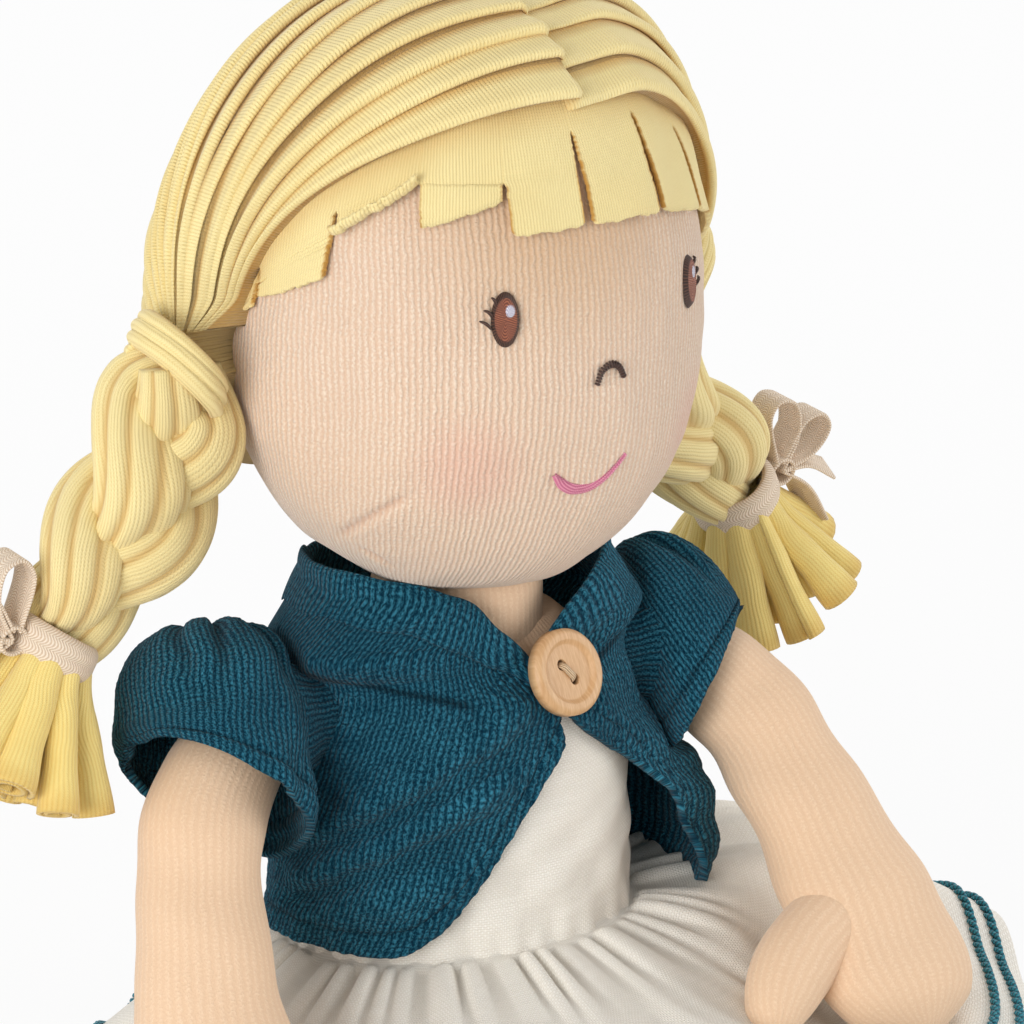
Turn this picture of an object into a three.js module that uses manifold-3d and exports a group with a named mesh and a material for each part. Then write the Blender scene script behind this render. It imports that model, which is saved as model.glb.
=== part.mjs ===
// A seated rag doll: stuffed velour body, jersey hair in two plaits, velour bolero with
// puff sleeves and a wooden button, and a linen dress with a gathered skirt.
// Millimetres, +Z up. The doll faces -Y, its left side is +X, and it sits on the plane z = 0
// with the middle of its seat at the origin.

import * as THREE from 'three';
import { mergeVertices } from 'three/addons/utils/BufferGeometryUtils.js';
import Module from 'manifold-3d';

const wasm = await Module();
wasm.setup();

const { sin, cos, abs, min, max, sqrt, hypot, PI } = Math;
const point = (x, y, z) => new THREE.Vector3(x, y, z);
const degrees = THREE.MathUtils.degToRad;
const mix = THREE.MathUtils.lerp;
const ease = THREE.MathUtils.smoothstep;
const fullTurn = 360;

// Driving sizes, all pieces
const gap = 0.4;             // air between pieces that touch
const velourCloth = 2.0;     // wall of the bolero
const linenCloth = 1.2;      // wall of the dress
const overrun = 5.0;         // how far a cut runs past what it cuts

// Torso: stuffed bag, flat where it sits
const torsoHeight = 106;
const torsoHalfWidth = 38.5;
const torsoHalfDepth = 29.5;
const waistHeight = 42;
const torsoShares = [         // height, width and depth, from the seat to the shoulders
  [0.00, 0.74, 0.70], [0.04, 0.88, 0.86], [0.12, 0.98, 0.97], [0.25, 1.00, 1.00],
  [0.40, 0.94, 0.92], [0.60, 0.93, 0.89], [0.80, 0.92, 0.83], [0.92, 0.80, 0.71],
  [1.00, 0.56, 0.54],
];

// Neck: its round top is a ball that the head turns and nods on
const neckRadius = 13.5;
const neckBallRise = 6;       // the ball's centre above the shoulders
const neckBallHeight = torsoHeight + neckBallRise;

// Head
const headHalfWidth = 47;
const headRise = 62;          // centre to crown
const headDrop = 56;          // centre to chin
const headAboveNeck = 59;     // its centre above the neck's ball
const headHeight = neckBallHeight + headAboveNeck;
const headForward = 3;        // centre in front of the body's axis
const headTurn = 7;           // degrees towards the doll's left
const headFullness = 2.35;    // exponent: 2 is an ellipsoid, more is fuller

// Face: thread patches, placed by degrees round the head and height on it
const eyeHalfWidth = 3.1;
const eyeHalfHeight = 5.2;
const eyeHeight = 8.7;
const eyePlaces = { right: -29.5, left: 28 };
const threadRise = 0.9;       // how far the stitches stand up
const noseHalfWidth = 2.9;
const noseHeight = -5.2;
const noseRise = 3.2;
const nosePlace = -3;
const mouthHalfWidth = 8.2;
const mouthHeight = -22;
const mouthDip = 5;
const mouthPlace = -6;

// Hair: pleated strips from the middle part to the ties
const partFront = 51.5;       // degrees above level where the part begins
const partBack = 234;         // degrees over the crown where it ends at the nape
const hairThickness = 5.6;
const hairLift = 1.2;         // air between the head and the strips
const stripCount = 9;
const stripStep = 2.2;        // how far each strip stands over the next
const stripReachShare = 0.94; // how much of the way to the tie the strips run
const stripRiseShare = 0.1;   // where a strip reaches its full height
const seamPushes = { right: 7, left: -11 };   // degrees that the front edge bows up
const napePush = 6;           // degrees that the lower edge bows down behind the ear
const hairGathered = 9.6;     // extra thickness where the strips meet the tie
const gatherShare = 0.08;     // where the strips begin to thicken
const gatheredShare = 0.8;    // where they are thickest
const frontBulkShare = 0.3;   // share of that thickness at the front edge
const bulkSpreadShare = 0.3;  // how far back it grows to the whole
const tieReach = 62;          // head's axis to the tie
const tieDrop = 4;
const tiePlace = 100;         // degrees round the head from the face

// Fringe: flat jersey sewn under the strips and slit into flaps
const fringeThickness = 1.3;
const fringeLift = 0.5;       // air between the head and the fringe
const fringeBand = 5;         // uncut cloth between the seam and the slits
const fringeTuck = 1.1;       // from the strips' edge down to the fringe
const slitLean = 0.15;        // degrees that a slit's side leans
const flapShares = [          // degrees round the head, and the cut edge's height at each end
  [-98, -94, 0.02, 0.09], [-93, -71, 0.13, 0.24], [-70, -51, 0.32, 0.47],
  [-49, -30, 0.40, 0.47], [-28, -9, 0.38, 0.395], [-8, 14, 0.395, 0.39], [15, 34, 0.39, 0.34],
  [35, 56, 0.34, 0.27], [57, 70, 0.25, 0.10], [71, 88, 0.05, -0.06],
];

// Plaits: three strands, a wrap at the top, a tape at the end, and a tuft
const wrapRadius = 9;
const wrapHeight = 10;
const wrapGap = 0.25;        // air round the wrap where it turns in the hair
const plaitLength = 60;       // tie to tape, between centres
const strandHalfWidth = 4.8;
const strandHalfDepth = 4.2;
const plaitHalfWidth = 9.8;   // how far a strand's middle swings sideways
const plaitHalfDepth = 5.7;
const plaitPitch = 80;        // length in which a strand crosses over and back
const plaitBow = 4;           // how far its middle hangs in towards the head
const plaitSpreads = { right: 25, left: 22 };
const plaitBack = 8;          // degrees behind straight down
const plaitShares = [         // length and fullness
  [0.00, 0.66], [0.25, 1.00], [0.60, 1.00], [1.00, 0.72],
];
const tapeRadius = 8.6;
const tapeHeight = 8;
const bandRoundShare = 0.3;   // rounding of a wound band, of its height
const tuftLength = 29;
const tuftRadius = 12.4;
const tuftNeckRadius = 7.4;
const tuftRolls = 9;
const tuftLobeShare = 0.12;
const tuftShares = [0, 0.2, 0.5, 0.8, 1];

// Bow of woven tape on each plait
const ribbonWidth = 7.5;
const ribbonThickness = 0.9;
const bowLoopLength = 17;
const bowLoopWidth = 7;
const bowTailLength = 20;
const bowShortTail = 16;
const bowTailDrift = 2.4;     // how far a tail swings to the side
const bowKnot = 5;
const bowLoopShares = [       // across and along, of a loop's width and length
  [0, 0], [0.5, 0.5], [0.25, 1], [-0.5, 0.7], [-0.2, 0.07],
];
const bowTailShares = [[0, 0], [1, 0.45], [0.4, 1]];
const bowLoopTurns = [28, 72];
const bowTailTurns = { long: -18, short: -52 };

// Arms: sewn at the shoulder, with a mitten hand
const shoulderDrop = 15;      // below the top of the torso
const shoulderHeight = torsoHeight - shoulderDrop;
const shoulderSeat = 34.2;    // body's middle to the flat where the arm is sewn on
const shoulderPlane = 41.4;   // the arm and its sleeve swing outside this plane
const shoulderRadius = 8.6;
const armDrop = 96;
const upperArmRadius = 12;
const handHalfWidth = 17;
const thumbRadius = 6.6;
const thumbReach = 14;
const thumbSpread = 38;       // degrees from the hand
const thumbShare = 0.8;       // where it leaves the hand, of the arm's length
const thumbOutShare = 0.88;   // how far out it sits, of the hand's half width
const armReachRight = 46;     // shoulder's flat to the hand, sideways
const armReachLeft = 34;
const armReaches = { right: armReachRight, left: armReachLeft };
const armLeans = { right: 38, left: 45 };
const armPathShares = {       // out and down
  right: [[0.42, 0.06], [0.66, 0.18], [0.77, 0.30], [0.90, 0.52], [0.97, 0.72], [1.00, 1.00]],
  left: [[0.56, 0.06], [0.82, 0.20], [0.92, 0.42], [0.97, 0.66], [1.00, 0.88], [1.00, 1.00]],
};
const armShares = [           // length, width and depth, of the upper arm's radius
  [0.00, 0.75, 0.75], [0.22, 0.97, 0.97], [0.45, 1.04, 1.00], [0.68, 1.28, 1.05],
  [0.84, 1.42, 0.90], [0.94, 1.20, 0.72], [1.00, 0.50, 0.34],
];

// Puff sleeves
const sleeveRadii = { right: 19.8, left: 18.4 };
const sleeveWall = 1.8;
const sleeveTop = 21.5;       // above the shoulder
const sleeveHemDrop = 16;     // below the shoulder
const hemTiltShares = { right: 0.35, left: 0.55 };  // rise of the hem on its way outwards
const sleeveGathers = 8;
const sleeveGatherDepth = 1.0;
const sleeveLean = 14;        // degrees outwards
const sleeveOuts = { right: 16, left: 10.5 };       // its middle outside the shoulder's plane
const sleeveShares = [        // height and radius
  [1.00, 0.24], [0.93, 0.52], [0.75, 0.80], [0.40, 0.97], [0.00, 1.00], [-0.40, 0.99],
  [-0.75, 0.95], [-1.00, 0.90],
];

// Legs: sewn at the front edge of the seat, so that the doll can sit
const hipPlace = 18;
const hipForward = 31;
const hipRadius = 8.5;
const legRadius = 15;
const ankleRadius = 12;
const legLength = 138;        // hip to ankle
const footRise = 26;
const footRadius = 12.5;
const legFlat = 0.5;          // how deep the leg is cut flat where it lies
const legSplay = 4;           // degrees outwards
const legShares = [           // length and radius
  [0.00, 0.56], [0.04, 0.57], [0.10, 0.74], [0.20, 0.96], [0.45, 1.00], [0.78, 0.84],
  [1.00, 0.80],
];
const footPathShares = [[0.72, 0.2], [1, 0.6], [1, 1]];
const toeShare = 0.45;        // where the foot begins to close, of its height
const toeRoundShare = 0.93;

// Bolero: angles are degrees round the body from the front, towards the doll's left
const frontPlace = 12;        // where the two fronts meet
const sidePlace = 98;
const boleroTopDrop = 3.5;    // below the top of the torso
const boleroTop = torsoHeight - boleroTopDrop;
const necklineDrop = 12;      // to where the collar band meets in front
const neckline = torsoHeight - necklineDrop;
const necklineSpread = 46;
const cutawayDrop = 13.7;     // to where the curves of the two hems would meet
const cutawayHeight = torsoHeight - cutawayDrop;
const cutawaySpreads = { right: 60, left: 86 };
const cutawayPowers = { right: 1, left: 2.2 };
const cutawayLeadShare = 0.26;
const boleroHemRise = 3.6;    // above the waist seam
const boleroHem = waistHeight + boleroHemRise;
const hemFlare = 2.6;
const collarFrontWidth = 7;
const collarBackWidth = 10.5;
const collarWidens = { from: 40, to: 150 };
const armholeRadius = 9.8;

// Button
const buttonRadius = 8.7;
const buttonThickness = 3.2;
const buttonRim = 1.0;
const buttonHoleRadius = 1.1;
const buttonHoleSpacing = 4.2;
const buttonDrop = 10.5;      // below the top of the torso
const buttonHeight = torsoHeight - buttonDrop;
const buttonPlace = 16;
const buttonTurn = 35;        // degrees, of the line through its holes

// Dress
const bodiceTopDrop = 16;
const bodiceTop = torsoHeight - bodiceTopDrop;
const bodiceArmholeDrop = 16;
const skirtReach = 107;       // body's axis to the hem
const skirtFolds = 14;
const foldDepth = 2.4;
const hemHeight = 4;
const raisedHemHeight = 34;   // the stiff hem stands up at the doll's left
const raisedPlace = 88;
const raisedSpreads = { full: 15, none: 62 };
const raisedCrown = 10;
const crown = 1;
const skirtToLeg = 1.6;
const skirtToArm = 1.4;
const drapeBlend = 5;         // how softly the cloth bends over a leg or under a hand
const dentRadius = 22;        // the cloth's bend under a hand
const skirtSagShare = 1.15;   // exponent: 1 falls straight from waist to hem

// Solids

// Grid of points to a closed mesh with its faces outwards
function closedMesh(points, triangles) {
  const places = points.flatMap((p) => [p.x, p.y, p.z]);
  let volume = 0;
  for (const [a, b, c] of triangles) {
    volume += points[a].dot(points[b].clone().cross(points[c]));
  }
  const faces = volume < 0 ? triangles.map(([a, b, c]) => [a, c, b]) : triangles;
  const geometry = new THREE.BufferGeometry();
  geometry.setAttribute('position', new THREE.Float32BufferAttribute(places, 3));
  geometry.setIndex(faces.flat());
  return geometry;
}

// Places round a ring, as angles
const roundAngles = (sides) => Array.from({ length: sides }, (_, i) => (2 * PI * i) / sides);

// Rings of points, one above the other, closed by a fan at each end
function loft(rings) {
  const around = rings[0].length;
  const points = rings.flat();
  const triangles = [];
  for (let j = 0; j + 1 < rings.length; j++) {
    for (let i = 0; i < around; i++) {
      const k = (i + 1) % around;
      const [low, high] = [j * around, (j + 1) * around];
      triangles.push([low + i, low + k, high + k], [low + i, high + k, high + i]);
    }
  }
  const last = points.length - around;
  for (const [ring, start, upper] of [[rings[0], 0, false], [rings.at(-1), last, true]]) {
    const middle = points.length;
    points.push(ring.reduce((sum, p) => sum.add(p), point(0, 0, 0)).divideScalar(around));
    for (let i = 0; i < around; i++) {
      const [a, b] = [start + i, start + ((i + 1) % around)];
      triangles.push(upper ? [middle, a, b] : [middle, b, a]);
    }
  }
  return closedMesh(points, triangles);
}

// A wall between two surfaces: at(u, v, side) gives the inner one for side 0, the outer for 1
function wall(columns, rows, at, around = false) {
  const across = around ? columns : columns + 1;
  const size = across * (rows + 1);
  const points = [];
  for (const side of [0, 1]) {
    for (let j = 0; j <= rows; j++) {
      for (let i = 0; i < across; i++) points.push(at(i / columns, j / rows, side));
    }
  }
  const triangles = [];
  const quad = (a, b, c, d) => triangles.push([a, b, c], [a, c, d]);
  const index = (i, j, side) => side * size + j * across + (i % across);
  for (let j = 0; j < rows; j++) {
    for (let i = 0; i < columns; i++) {
      quad(index(i, j, 1), index(i + 1, j, 1), index(i + 1, j + 1, 1), index(i, j + 1, 1));
      quad(index(i, j, 0), index(i, j + 1, 0), index(i + 1, j + 1, 0), index(i + 1, j, 0));
    }
  }
  for (let i = 0; i < columns; i++) {
    quad(index(i, 0, 0), index(i + 1, 0, 0), index(i + 1, 0, 1), index(i, 0, 1));
    quad(index(i, rows, 1), index(i + 1, rows, 1), index(i + 1, rows, 0), index(i, rows, 0));
  }
  for (let j = 0; j < rows && !around; j++) {
    quad(index(0, j, 1), index(0, j + 1, 1), index(0, j + 1, 0), index(0, j, 0));
    quad(index(columns, j, 0), index(columns, j + 1, 0), index(columns, j + 1, 1),
      index(columns, j, 1));
  }
  return closedMesh(points, triangles);
}

// A round or oval section carried along a curve, with its depth along a given axis
function sweep(curve, steps, sides, axis, sectionAt) {
  const rings = [];
  for (let j = 0; j <= steps; j++) {
    const middle = curve.getPointAt(j / steps);
    const along = curve.getTangentAt(j / steps);
    const deepAxis = axis.clone().addScaledVector(along, -axis.dot(along)).normalize();
    const wideAxis = along.cross(deepAxis);
    const [wide, deep] = sectionAt(j / steps);
    rings.push(roundAngles(sides).map((turn) => middle.clone()
      .addScaledVector(wideAxis, wide * cos(turn)).addScaledVector(deepAxis, deep * sin(turn))));
  }
  return loft(rings);
}

function toSolid(geometry) {
  const bare = geometry.clone();
  bare.deleteAttribute('normal');
  bare.deleteAttribute('uv');
  const merged = mergeVertices(bare, 1e-4);
  return new wasm.Manifold(new wasm.Mesh({
    numProp: 3,
    vertProperties: new Float32Array(merged.attributes.position.array),
    triVerts: new Uint32Array(merged.index.array),
  }));
}

function toGeometry(solid) {
  const mesh = solid.getMesh();
  const geometry = new THREE.BufferGeometry();
  geometry.setAttribute('position', new THREE.Float32BufferAttribute(mesh.vertProperties, 3));
  geometry.setIndex([...mesh.triVerts]);
  return geometry;
}

const cut = (geometry, ...tools) => toGeometry(
  tools.reduce((solid, tool) => solid.subtract(toSolid(tool)), toSolid(geometry)));

const join = (first, ...others) => toGeometry(
  others.reduce((solid, other) => solid.add(toSolid(other)), toSolid(first)));

const keepWithin = (geometry, tool) => toGeometry(toSolid(geometry).intersect(toSolid(tool)));

const mirrored = (geometry) => {
  const flipped = geometry.clone().scale(-1, 1, 1);
  const order = flipped.index.array;
  for (let i = 0; i < order.length; i += 3) [order[i], order[i + 1]] = [order[i + 1], order[i]];
  return flipped;
};

const block = (low, high) => new THREE.BoxGeometry(high.x - low.x, high.y - low.y, high.z - low.z)
  .translate((low.x + high.x) / 2, (low.y + high.y) / 2, (low.z + high.z) / 2);

// A rod along X from one place to another
const rodAlongX = (radius, from, to, sides = 16) => new THREE.CylinderGeometry(radius, radius,
  abs(to - from), sides).rotateZ(PI / 2).translate((from + to) / 2, 0, 0);

const ball = (radius, sides = 16) => new THREE.SphereGeometry(radius, sides, sides / 2);

// A ball whose flats all lie outside the radius, to cut room for a round piece
const roomyBall = (radius, sides = 16) => ball(radius / cos(PI / sides) ** 2, sides);

// A turned piece about +Z from places across and up
const turned = (places, sides) => new THREE.LatheGeometry(
  places.map(([x, y]) => new THREE.Vector2(x, y)), sides).rotateX(PI / 2);

// Matrix that stands a piece made on the XY plane on a seat, facing a second point
function facing(seat, ahead) {
  const outward = ahead.clone().sub(seat).normalize();
  const side = point(0, 0, 1).cross(outward).normalize();
  return new THREE.Matrix4().makeBasis(side, outward.clone().cross(side), outward)
    .setPosition(seat);
}

// A smooth curve through a table of shares
function shareAt(table, column, height) {
  let j = 1;
  while (j < table.length - 1 && table[j][0] < height) j++;
  const [before, after] = [table[j - 1], table[j]];
  const span = after[0] - before[0];
  const along = min(max((height - before[0]) / span, 0), 1);
  const slope = (k) => {
    const [low, high] = [table[max(k - 1, 0)], table[min(k + 1, table.length - 1)]];
    return (high[column] - low[column]) / (high[0] - low[0]);
  };
  const [a, b] = [before[column], after[column]];
  const [p, q] = [slope(j - 1) * span, slope(j) * span];
  return a + along * (p + along * (3 * (b - a) - 2 * p - q + along * (2 * (a - b) + p + q)));
}

// Torso

const bodySides = 26;
const smallShare = 1e-3;

// The body's surface at an angle from the front, moved outwards along its own normal
function onTorso(angle, height, lift) {
  const base = (turn, at) => {
    const share = at / torsoHeight;
    return point(torsoHalfWidth * shareAt(torsoShares, 1, share) * sin(turn),
      -torsoHalfDepth * shareAt(torsoShares, 2, share) * cos(turn), at);
  };
  const step = torsoHeight * smallShare;
  const round = base(angle + smallShare, height).sub(base(angle - smallShare, height));
  const low = base(angle, max(height - step, 0));
  const up = base(angle, min(height + step, torsoHeight)).sub(low);
  return base(angle, height).addScaledVector(round.cross(up).normalize(), lift);
}

function torso() {
  const levels = torsoShares.flatMap(([share], j) => {
    const next = torsoShares[j + 1];
    return next ? [share, (share + next[0]) / 2] : [share];
  });
  const rings = levels.map((share) => roundAngles(bodySides).map(
    (turn) => onTorso(turn, share * torsoHeight, 0)));
  const seats = [-1, 1].map((side) => rodAlongX(shoulderRadius + gap, side * shoulderSeat,
    side * (torsoHalfWidth + overrun)).translate(0, 0, shoulderHeight));
  const hips = [-1, 1].map((side) => roomyBall(hipRadius + gap)
    .translate(side * hipPlace, -hipForward, legAxisHeight(hipRadius)));
  return cut(loft(rings), ...seats, ...hips);
}

// Neck: a short round stub whose top is part of a ball
function neck() {
  const steps = 5;
  const dome = Array.from({ length: steps }, (_, i) => {
    const turn = (PI / 2) * (i / steps);
    return [neckRadius * cos(turn), neckBallHeight + neckRadius * sin(turn)];
  });
  const foot = torsoHeight + gap;
  return turned([[0, foot], [neckRadius, foot], ...dome, [0, neckBallHeight + neckRadius]], 20);
}

// Head

const headRiseAt = (height) => (height > 0 ? headRise : headDrop);

// The head's surface along a direction from its centre, moved outwards
function onHead(direction, lift) {
  const d = direction.clone().normalize();
  const reach = ((hypot(d.x, d.y) / headHalfWidth) ** headFullness
    + (abs(d.z) / headRiseAt(d.z)) ** headFullness) ** (-1 / headFullness);
  return d.multiplyScalar(reach + lift);
}

// The same, at a place in degrees round the head and at a height on it
function onHeadAt(place, height, lift) {
  const share = (abs(height) / headRiseAt(height)) ** headFullness;
  const radius = headHalfWidth * (1 - share) ** (1 / headFullness);
  const turn = degrees(place);
  return onHead(point(radius * sin(turn), -radius * cos(turn), height), lift);
}

function head(sides = 26, rows = 14) {
  const rings = [];
  for (let j = 1; j < rows; j++) {
    const tilt = -PI / 2 + (PI * j) / rows;
    rings.push(roundAngles(sides).map(
      (turn) => onHead(point(cos(tilt) * sin(turn), -cos(tilt) * cos(turn), sin(tilt)), 0)));
  }
  const socket = roomyBall(neckRadius + gap, 20)
    .translate(0, headForward, neckBallHeight - headHeight);
  return cut(loft(rings), socket);
}

// Face: patches of thread that stand on the skin

function eye(place) {
  const outline = new THREE.Shape().absellipse(0, 0, eyeHalfWidth, eyeHalfHeight, 0, 2 * PI);
  const patch = new THREE.ExtrudeGeometry(outline,
    { depth: threadRise, bevelEnabled: false, curveSegments: 14 });
  return patch.applyMatrix4(facing(onHeadAt(place, eyeHeight, gap),
    onHeadAt(place, eyeHeight, gap + threadRise)));
}

// A row of stitches as one low cord along points on the head
function stitchedLine(places, steps) {
  const seats = places.map(([place, height]) => onHeadAt(place, height, gap + threadRise / 2));
  return sweep(new THREE.CatmullRomCurve3(seats), steps, 6, point(0, 1, 0),
    () => [threadRise / 2, threadRise / 2]);
}

const degreesPerLength = 180 / (PI * headHalfWidth);

function nose() {
  const half = noseHalfWidth * degreesPerLength;
  const high = noseHeight + noseRise;
  return stitchedLine([[nosePlace - half, noseHeight], [nosePlace - half / 2, high],
    [nosePlace + half / 2, high], [nosePlace + half, noseHeight]], 8);
}

function mouth() {
  const half = mouthHalfWidth * degreesPerLength;
  const low = mouthHeight - mouthDip;
  return stitchedLine([[mouthPlace - half, mouthHeight - mouthDip / 2],
    [mouthPlace - half / 3, low], [mouthPlace + half / 3, low],
    [mouthPlace + half, mouthHeight]], 12);
}

// Hair

function tieSeat(side) {
  const turn = degrees(side * tiePlace);
  return point(tieReach * sin(turn), -tieReach * cos(turn), -tieDrop);
}

// Direction of a point on a side panel: u runs from the forehead to the nape, v from the
// middle part to the tie
function hairDirection(side, u, v) {
  const over = degrees(mix(partFront, partBack, u));
  const start = point(0, -cos(over), sin(over));
  const end = tieSeat(side).normalize();
  const across = start.clone().cross(end).multiplyScalar(side).normalize();
  const seamPush = side < 0 ? seamPushes.right : seamPushes.left;
  const push = (u < 0.5 ? seamPush : napePush) * abs(2 * u - 1) ** 3;
  const quarter = (PI / 2) * v;
  return start.multiplyScalar(cos(quarter)).addScaledVector(end, sin(quarter))
    .addScaledVector(across, degrees(push) * sin(PI * v * v)).normalize();
}

function plaitTurn(name, side) {
  return [plaitBack, -side * plaitSpreads[name], 0];
}

function hairPanel(name, side, rows = 6) {
  const columns = 3 * stripCount;
  const panel = wall(columns, rows, (u, v, layer) => {
    const along = v * stripReachShare;
    const strip = (u * stripCount) % 1;
    const ridge = stripStep * (1 - strip) * (1 - along) * ease(along, 0, stripRiseShare);
    const bulk = hairGathered * ease(along, gatherShare, gatheredShare)
      * mix(mix(frontBulkShare, 1, ease(along, gatheredShare, 1)), 1, ease(u, 0, bulkSpreadShare));
    const lift = layer ? hairThickness + ridge + bulk : hairLift;
    const seat = onHead(hairDirection(side, u, along), lift);
    seat.x = side * max(side * seat.x, gap / 2);
    return seat;
  });
  const tie = tieSeat(side);
  const wide = plaitHalfWidth + strandHalfWidth + plaitBow + gap;
  const long = plaitPitch / 4;
  const below = new THREE.CylinderGeometry(wrapRadius + gap, wide, long, 16)
    .rotateX(PI / 2).translate(0, 0, -long / 2);
  const turns = new THREE.Euler(...plaitTurn(name, side).map(degrees));
  below.applyMatrix4(new THREE.Matrix4().makeRotationFromEuler(turns));
  const wrapReach = hypot(wrapRadius, wrapHeight * (0.5 - bandRoundShare));
  const rooms = [roomyBall(wrapReach + wrapGap, 24), below];
  return cut(panel, ...rooms.map((room) => room.translate(tie.x, tie.y, tie.z)));
}

// The front edge of the strips, as degrees round the head and height
const seamSteps = 24;
const seamLine = [-1, 1].flatMap((side) => Array.from({ length: seamSteps }, (_, i) => {
  const seat = onHead(hairDirection(side, 0, (i / (seamSteps - 1)) * stripReachShare), 0);
  return [THREE.MathUtils.radToDeg(Math.atan2(seat.x, -seat.y)), seat.z];
})).sort((one, other) => one[0] - other[0]);

function seamHeight(place) {
  const found = seamLine.findIndex(([at]) => at > place);
  const after = found < 0 ? seamLine.length - 1 : max(found, 1);
  const [low, high] = [seamLine[after - 1], seamLine[after]];
  return mix(low[1], high[1], (place - low[0]) / (high[0] - low[0]));
}

function fringe() {
  const edge = flapShares.flatMap(([from, to, startShare, endShare], i) => {
    const columns = [0, 1 / 2, 1].map((share) => [mix(from, to, share),
      headRise * mix(startShare, endShare, share)]);
    const next = flapShares[i + 1];
    if (next) {
      for (const place of [to + slitLean, next[0] - slitLean]) {
        columns.push([place, max(seamHeight(place) - fringeBand, headRise * endShare)]);
      }
    }
    return columns;
  });
  return wall(edge.length - 1, 3, (u, v, layer) => {
    const [place, cutHeight] = edge[Math.round(u * (edge.length - 1))];
    const top = seamHeight(place) - fringeTuck;
    return onHeadAt(place, mix(top, cutHeight, v), fringeLift + layer * fringeThickness);
  });
}

// Plaits, hanging down from the tie along -Z

const strandTop = -wrapHeight / 2 - gap;
const strandBottom = -plaitLength + tapeHeight / 2 + gap;

function strandPath(index) {
  const steps = 24;
  const points = Array.from({ length: steps + 1 }, (_, i) => {
    const height = mix(strandTop, strandBottom, i / steps);
    const turn = 2 * PI * (-height / plaitPitch + index / 3);
    const share = shareAt(plaitShares, 1, i / steps);
    const bowed = plaitHalfWidth * share * sin(turn) - plaitBow * sin((PI * i) / steps);
    return point(bowed, plaitHalfDepth * share * sin(2 * turn), height);
  });
  return new THREE.CatmullRomCurve3(points);
}

function strand(index) {
  const body = sweep(strandPath(index), 20, 7, point(0, 1, 0), (t) => {
    const share = shareAt(plaitShares, 1, t);
    return [strandHalfWidth * share, strandHalfDepth * share];
  });
  const reach = plaitLength;
  return keepWithin(body, block(point(-reach, -reach, strandBottom),
    point(reach, reach, strandTop)));
}

// A wound band: a drum with rounded edges, centred at a height
function band(radius, height, middle) {
  const round = height * bandRoundShare;
  const half = height / 2;
  return turned([[0, -half], [radius - round, -half], [radius, -half + round],
    [radius, half - round], [radius - round, half], [0, half]], 18).translate(0, 0, middle);
}

// The loose ends below the tape: rolls of jersey that spread out
function tuft() {
  const top = -plaitLength - tapeHeight / 2 - gap;
  return loft(tuftShares.map((share) => roundAngles(tuftRolls * 4).map((turn) => {
    const flare = mix(tuftNeckRadius, tuftRadius, sqrt(share));
    const radius = flare * (1 + tuftLobeShare * share * cos(tuftRolls * turn));
    return point(radius * cos(turn), radius * sin(turn), top - tuftLength * share);
  })));
}

// A stretch of flat tape along a curve in the plane of the bow
function ribbon(places, steps) {
  const curve = new THREE.CatmullRomCurve3(places);
  const [wide, thick] = [ribbonWidth / 2, ribbonThickness / 2];
  const rings = [];
  for (let j = 0; j <= steps; j++) {
    const along = curve.getTangentAt(j / steps);
    const across = point(0, 1, 0).addScaledVector(along, -along.y).normalize();
    const up = along.clone().cross(across);
    rings.push([[wide, thick], [-wide, thick], [-wide, -thick], [wide, -thick]].map(
      ([a, b]) => curve.getPointAt(j / steps).addScaledVector(across, a).addScaledVector(up, b)));
  }
  return loft(rings);
}

function bow() {
  const knot = ball(bowKnot / 2, 10).scale(1, (ribbonWidth + bowKnot / 2) / bowKnot, 1);
  const loops = bowLoopTurns.map((turn) => ribbon(bowLoopShares.map(
    ([a, b]) => point(bowLoopWidth * a, 0, bowLoopLength * b)), 10).rotateY(degrees(turn)));
  const tails = [[bowTailTurns.long, bowTailLength], [bowTailTurns.short, bowShortTail]].map(
    ([turn, length]) => ribbon(bowTailShares.map(
      ([a, b]) => point(bowTailDrift * a, 0, -length * b)), 5).rotateY(degrees(turn)));
  return join(knot, ...loops, ...tails)
    .translate(tapeRadius + gap + bowKnot / 2, 0, -plaitLength);
}

// Arms, hanging from the shoulder along -Z, with +X away from the body

function armCurve(name) {
  return new THREE.CatmullRomCurve3([point(shoulderPlane, 0, 0), ...armPathShares[name].map(
    ([out, down]) => point(shoulderSeat + armReaches[name] * out, 0, -armDrop * down))]);
}

function arm(name) {
  const curve = armCurve(name);
  const limb = sweep(curve, 14, 12, point(0, 1, 0), (t) => [
    upperArmRadius * shareAt(armShares, 1, t), upperArmRadius * shareAt(armShares, 2, t)]);
  const palm = curve.getPointAt(thumbShare);
  const thumb = ball(thumbRadius, 10).scale(thumbReach / thumbRadius, 1, 1)
    .rotateY(degrees(-thumbSpread))
    .translate(palm.x - handHalfWidth * thumbOutShare, palm.y, palm.z);
  const inner = shoulderPlane + sleeveWall + gap;
  const outside = block(point(inner, -armDrop, -2 * armDrop),
    point(2 * armDrop, armDrop, armDrop));
  const root = rodAlongX(shoulderRadius, shoulderSeat + gap, inner + upperArmRadius / 2);
  return join(keepWithin(join(limb, thumb), outside), root);
}

// Puff sleeve: a gathered dome that hangs from the shoulder, open below, with a flat
// side at the armhole that the arm comes through
function sleeveDome(name, inset, extra, sides) {
  const rings = sleeveShares.map(([height, share], j) => {
    const reach = height > 0 ? sleeveTop - inset : sleeveHemDrop + extra;
    const pucker = j && !inset ? sleeveGatherDepth * abs(height) : 0;
    return roundAngles(sides).map((turn) => {
      const radius = sleeveRadii[name] * share - inset + pucker * cos(sleeveGathers * turn);
      const across = radius * cos(turn);
      return point(across, radius * sin(turn),
        reach * height - hemTiltShares[name] * min(height, 0) * across);
    });
  });
  return loft(rings).rotateY(degrees(-sleeveLean))
    .translate(shoulderPlane + sleeveOuts[name], 0, 0);
}

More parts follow.
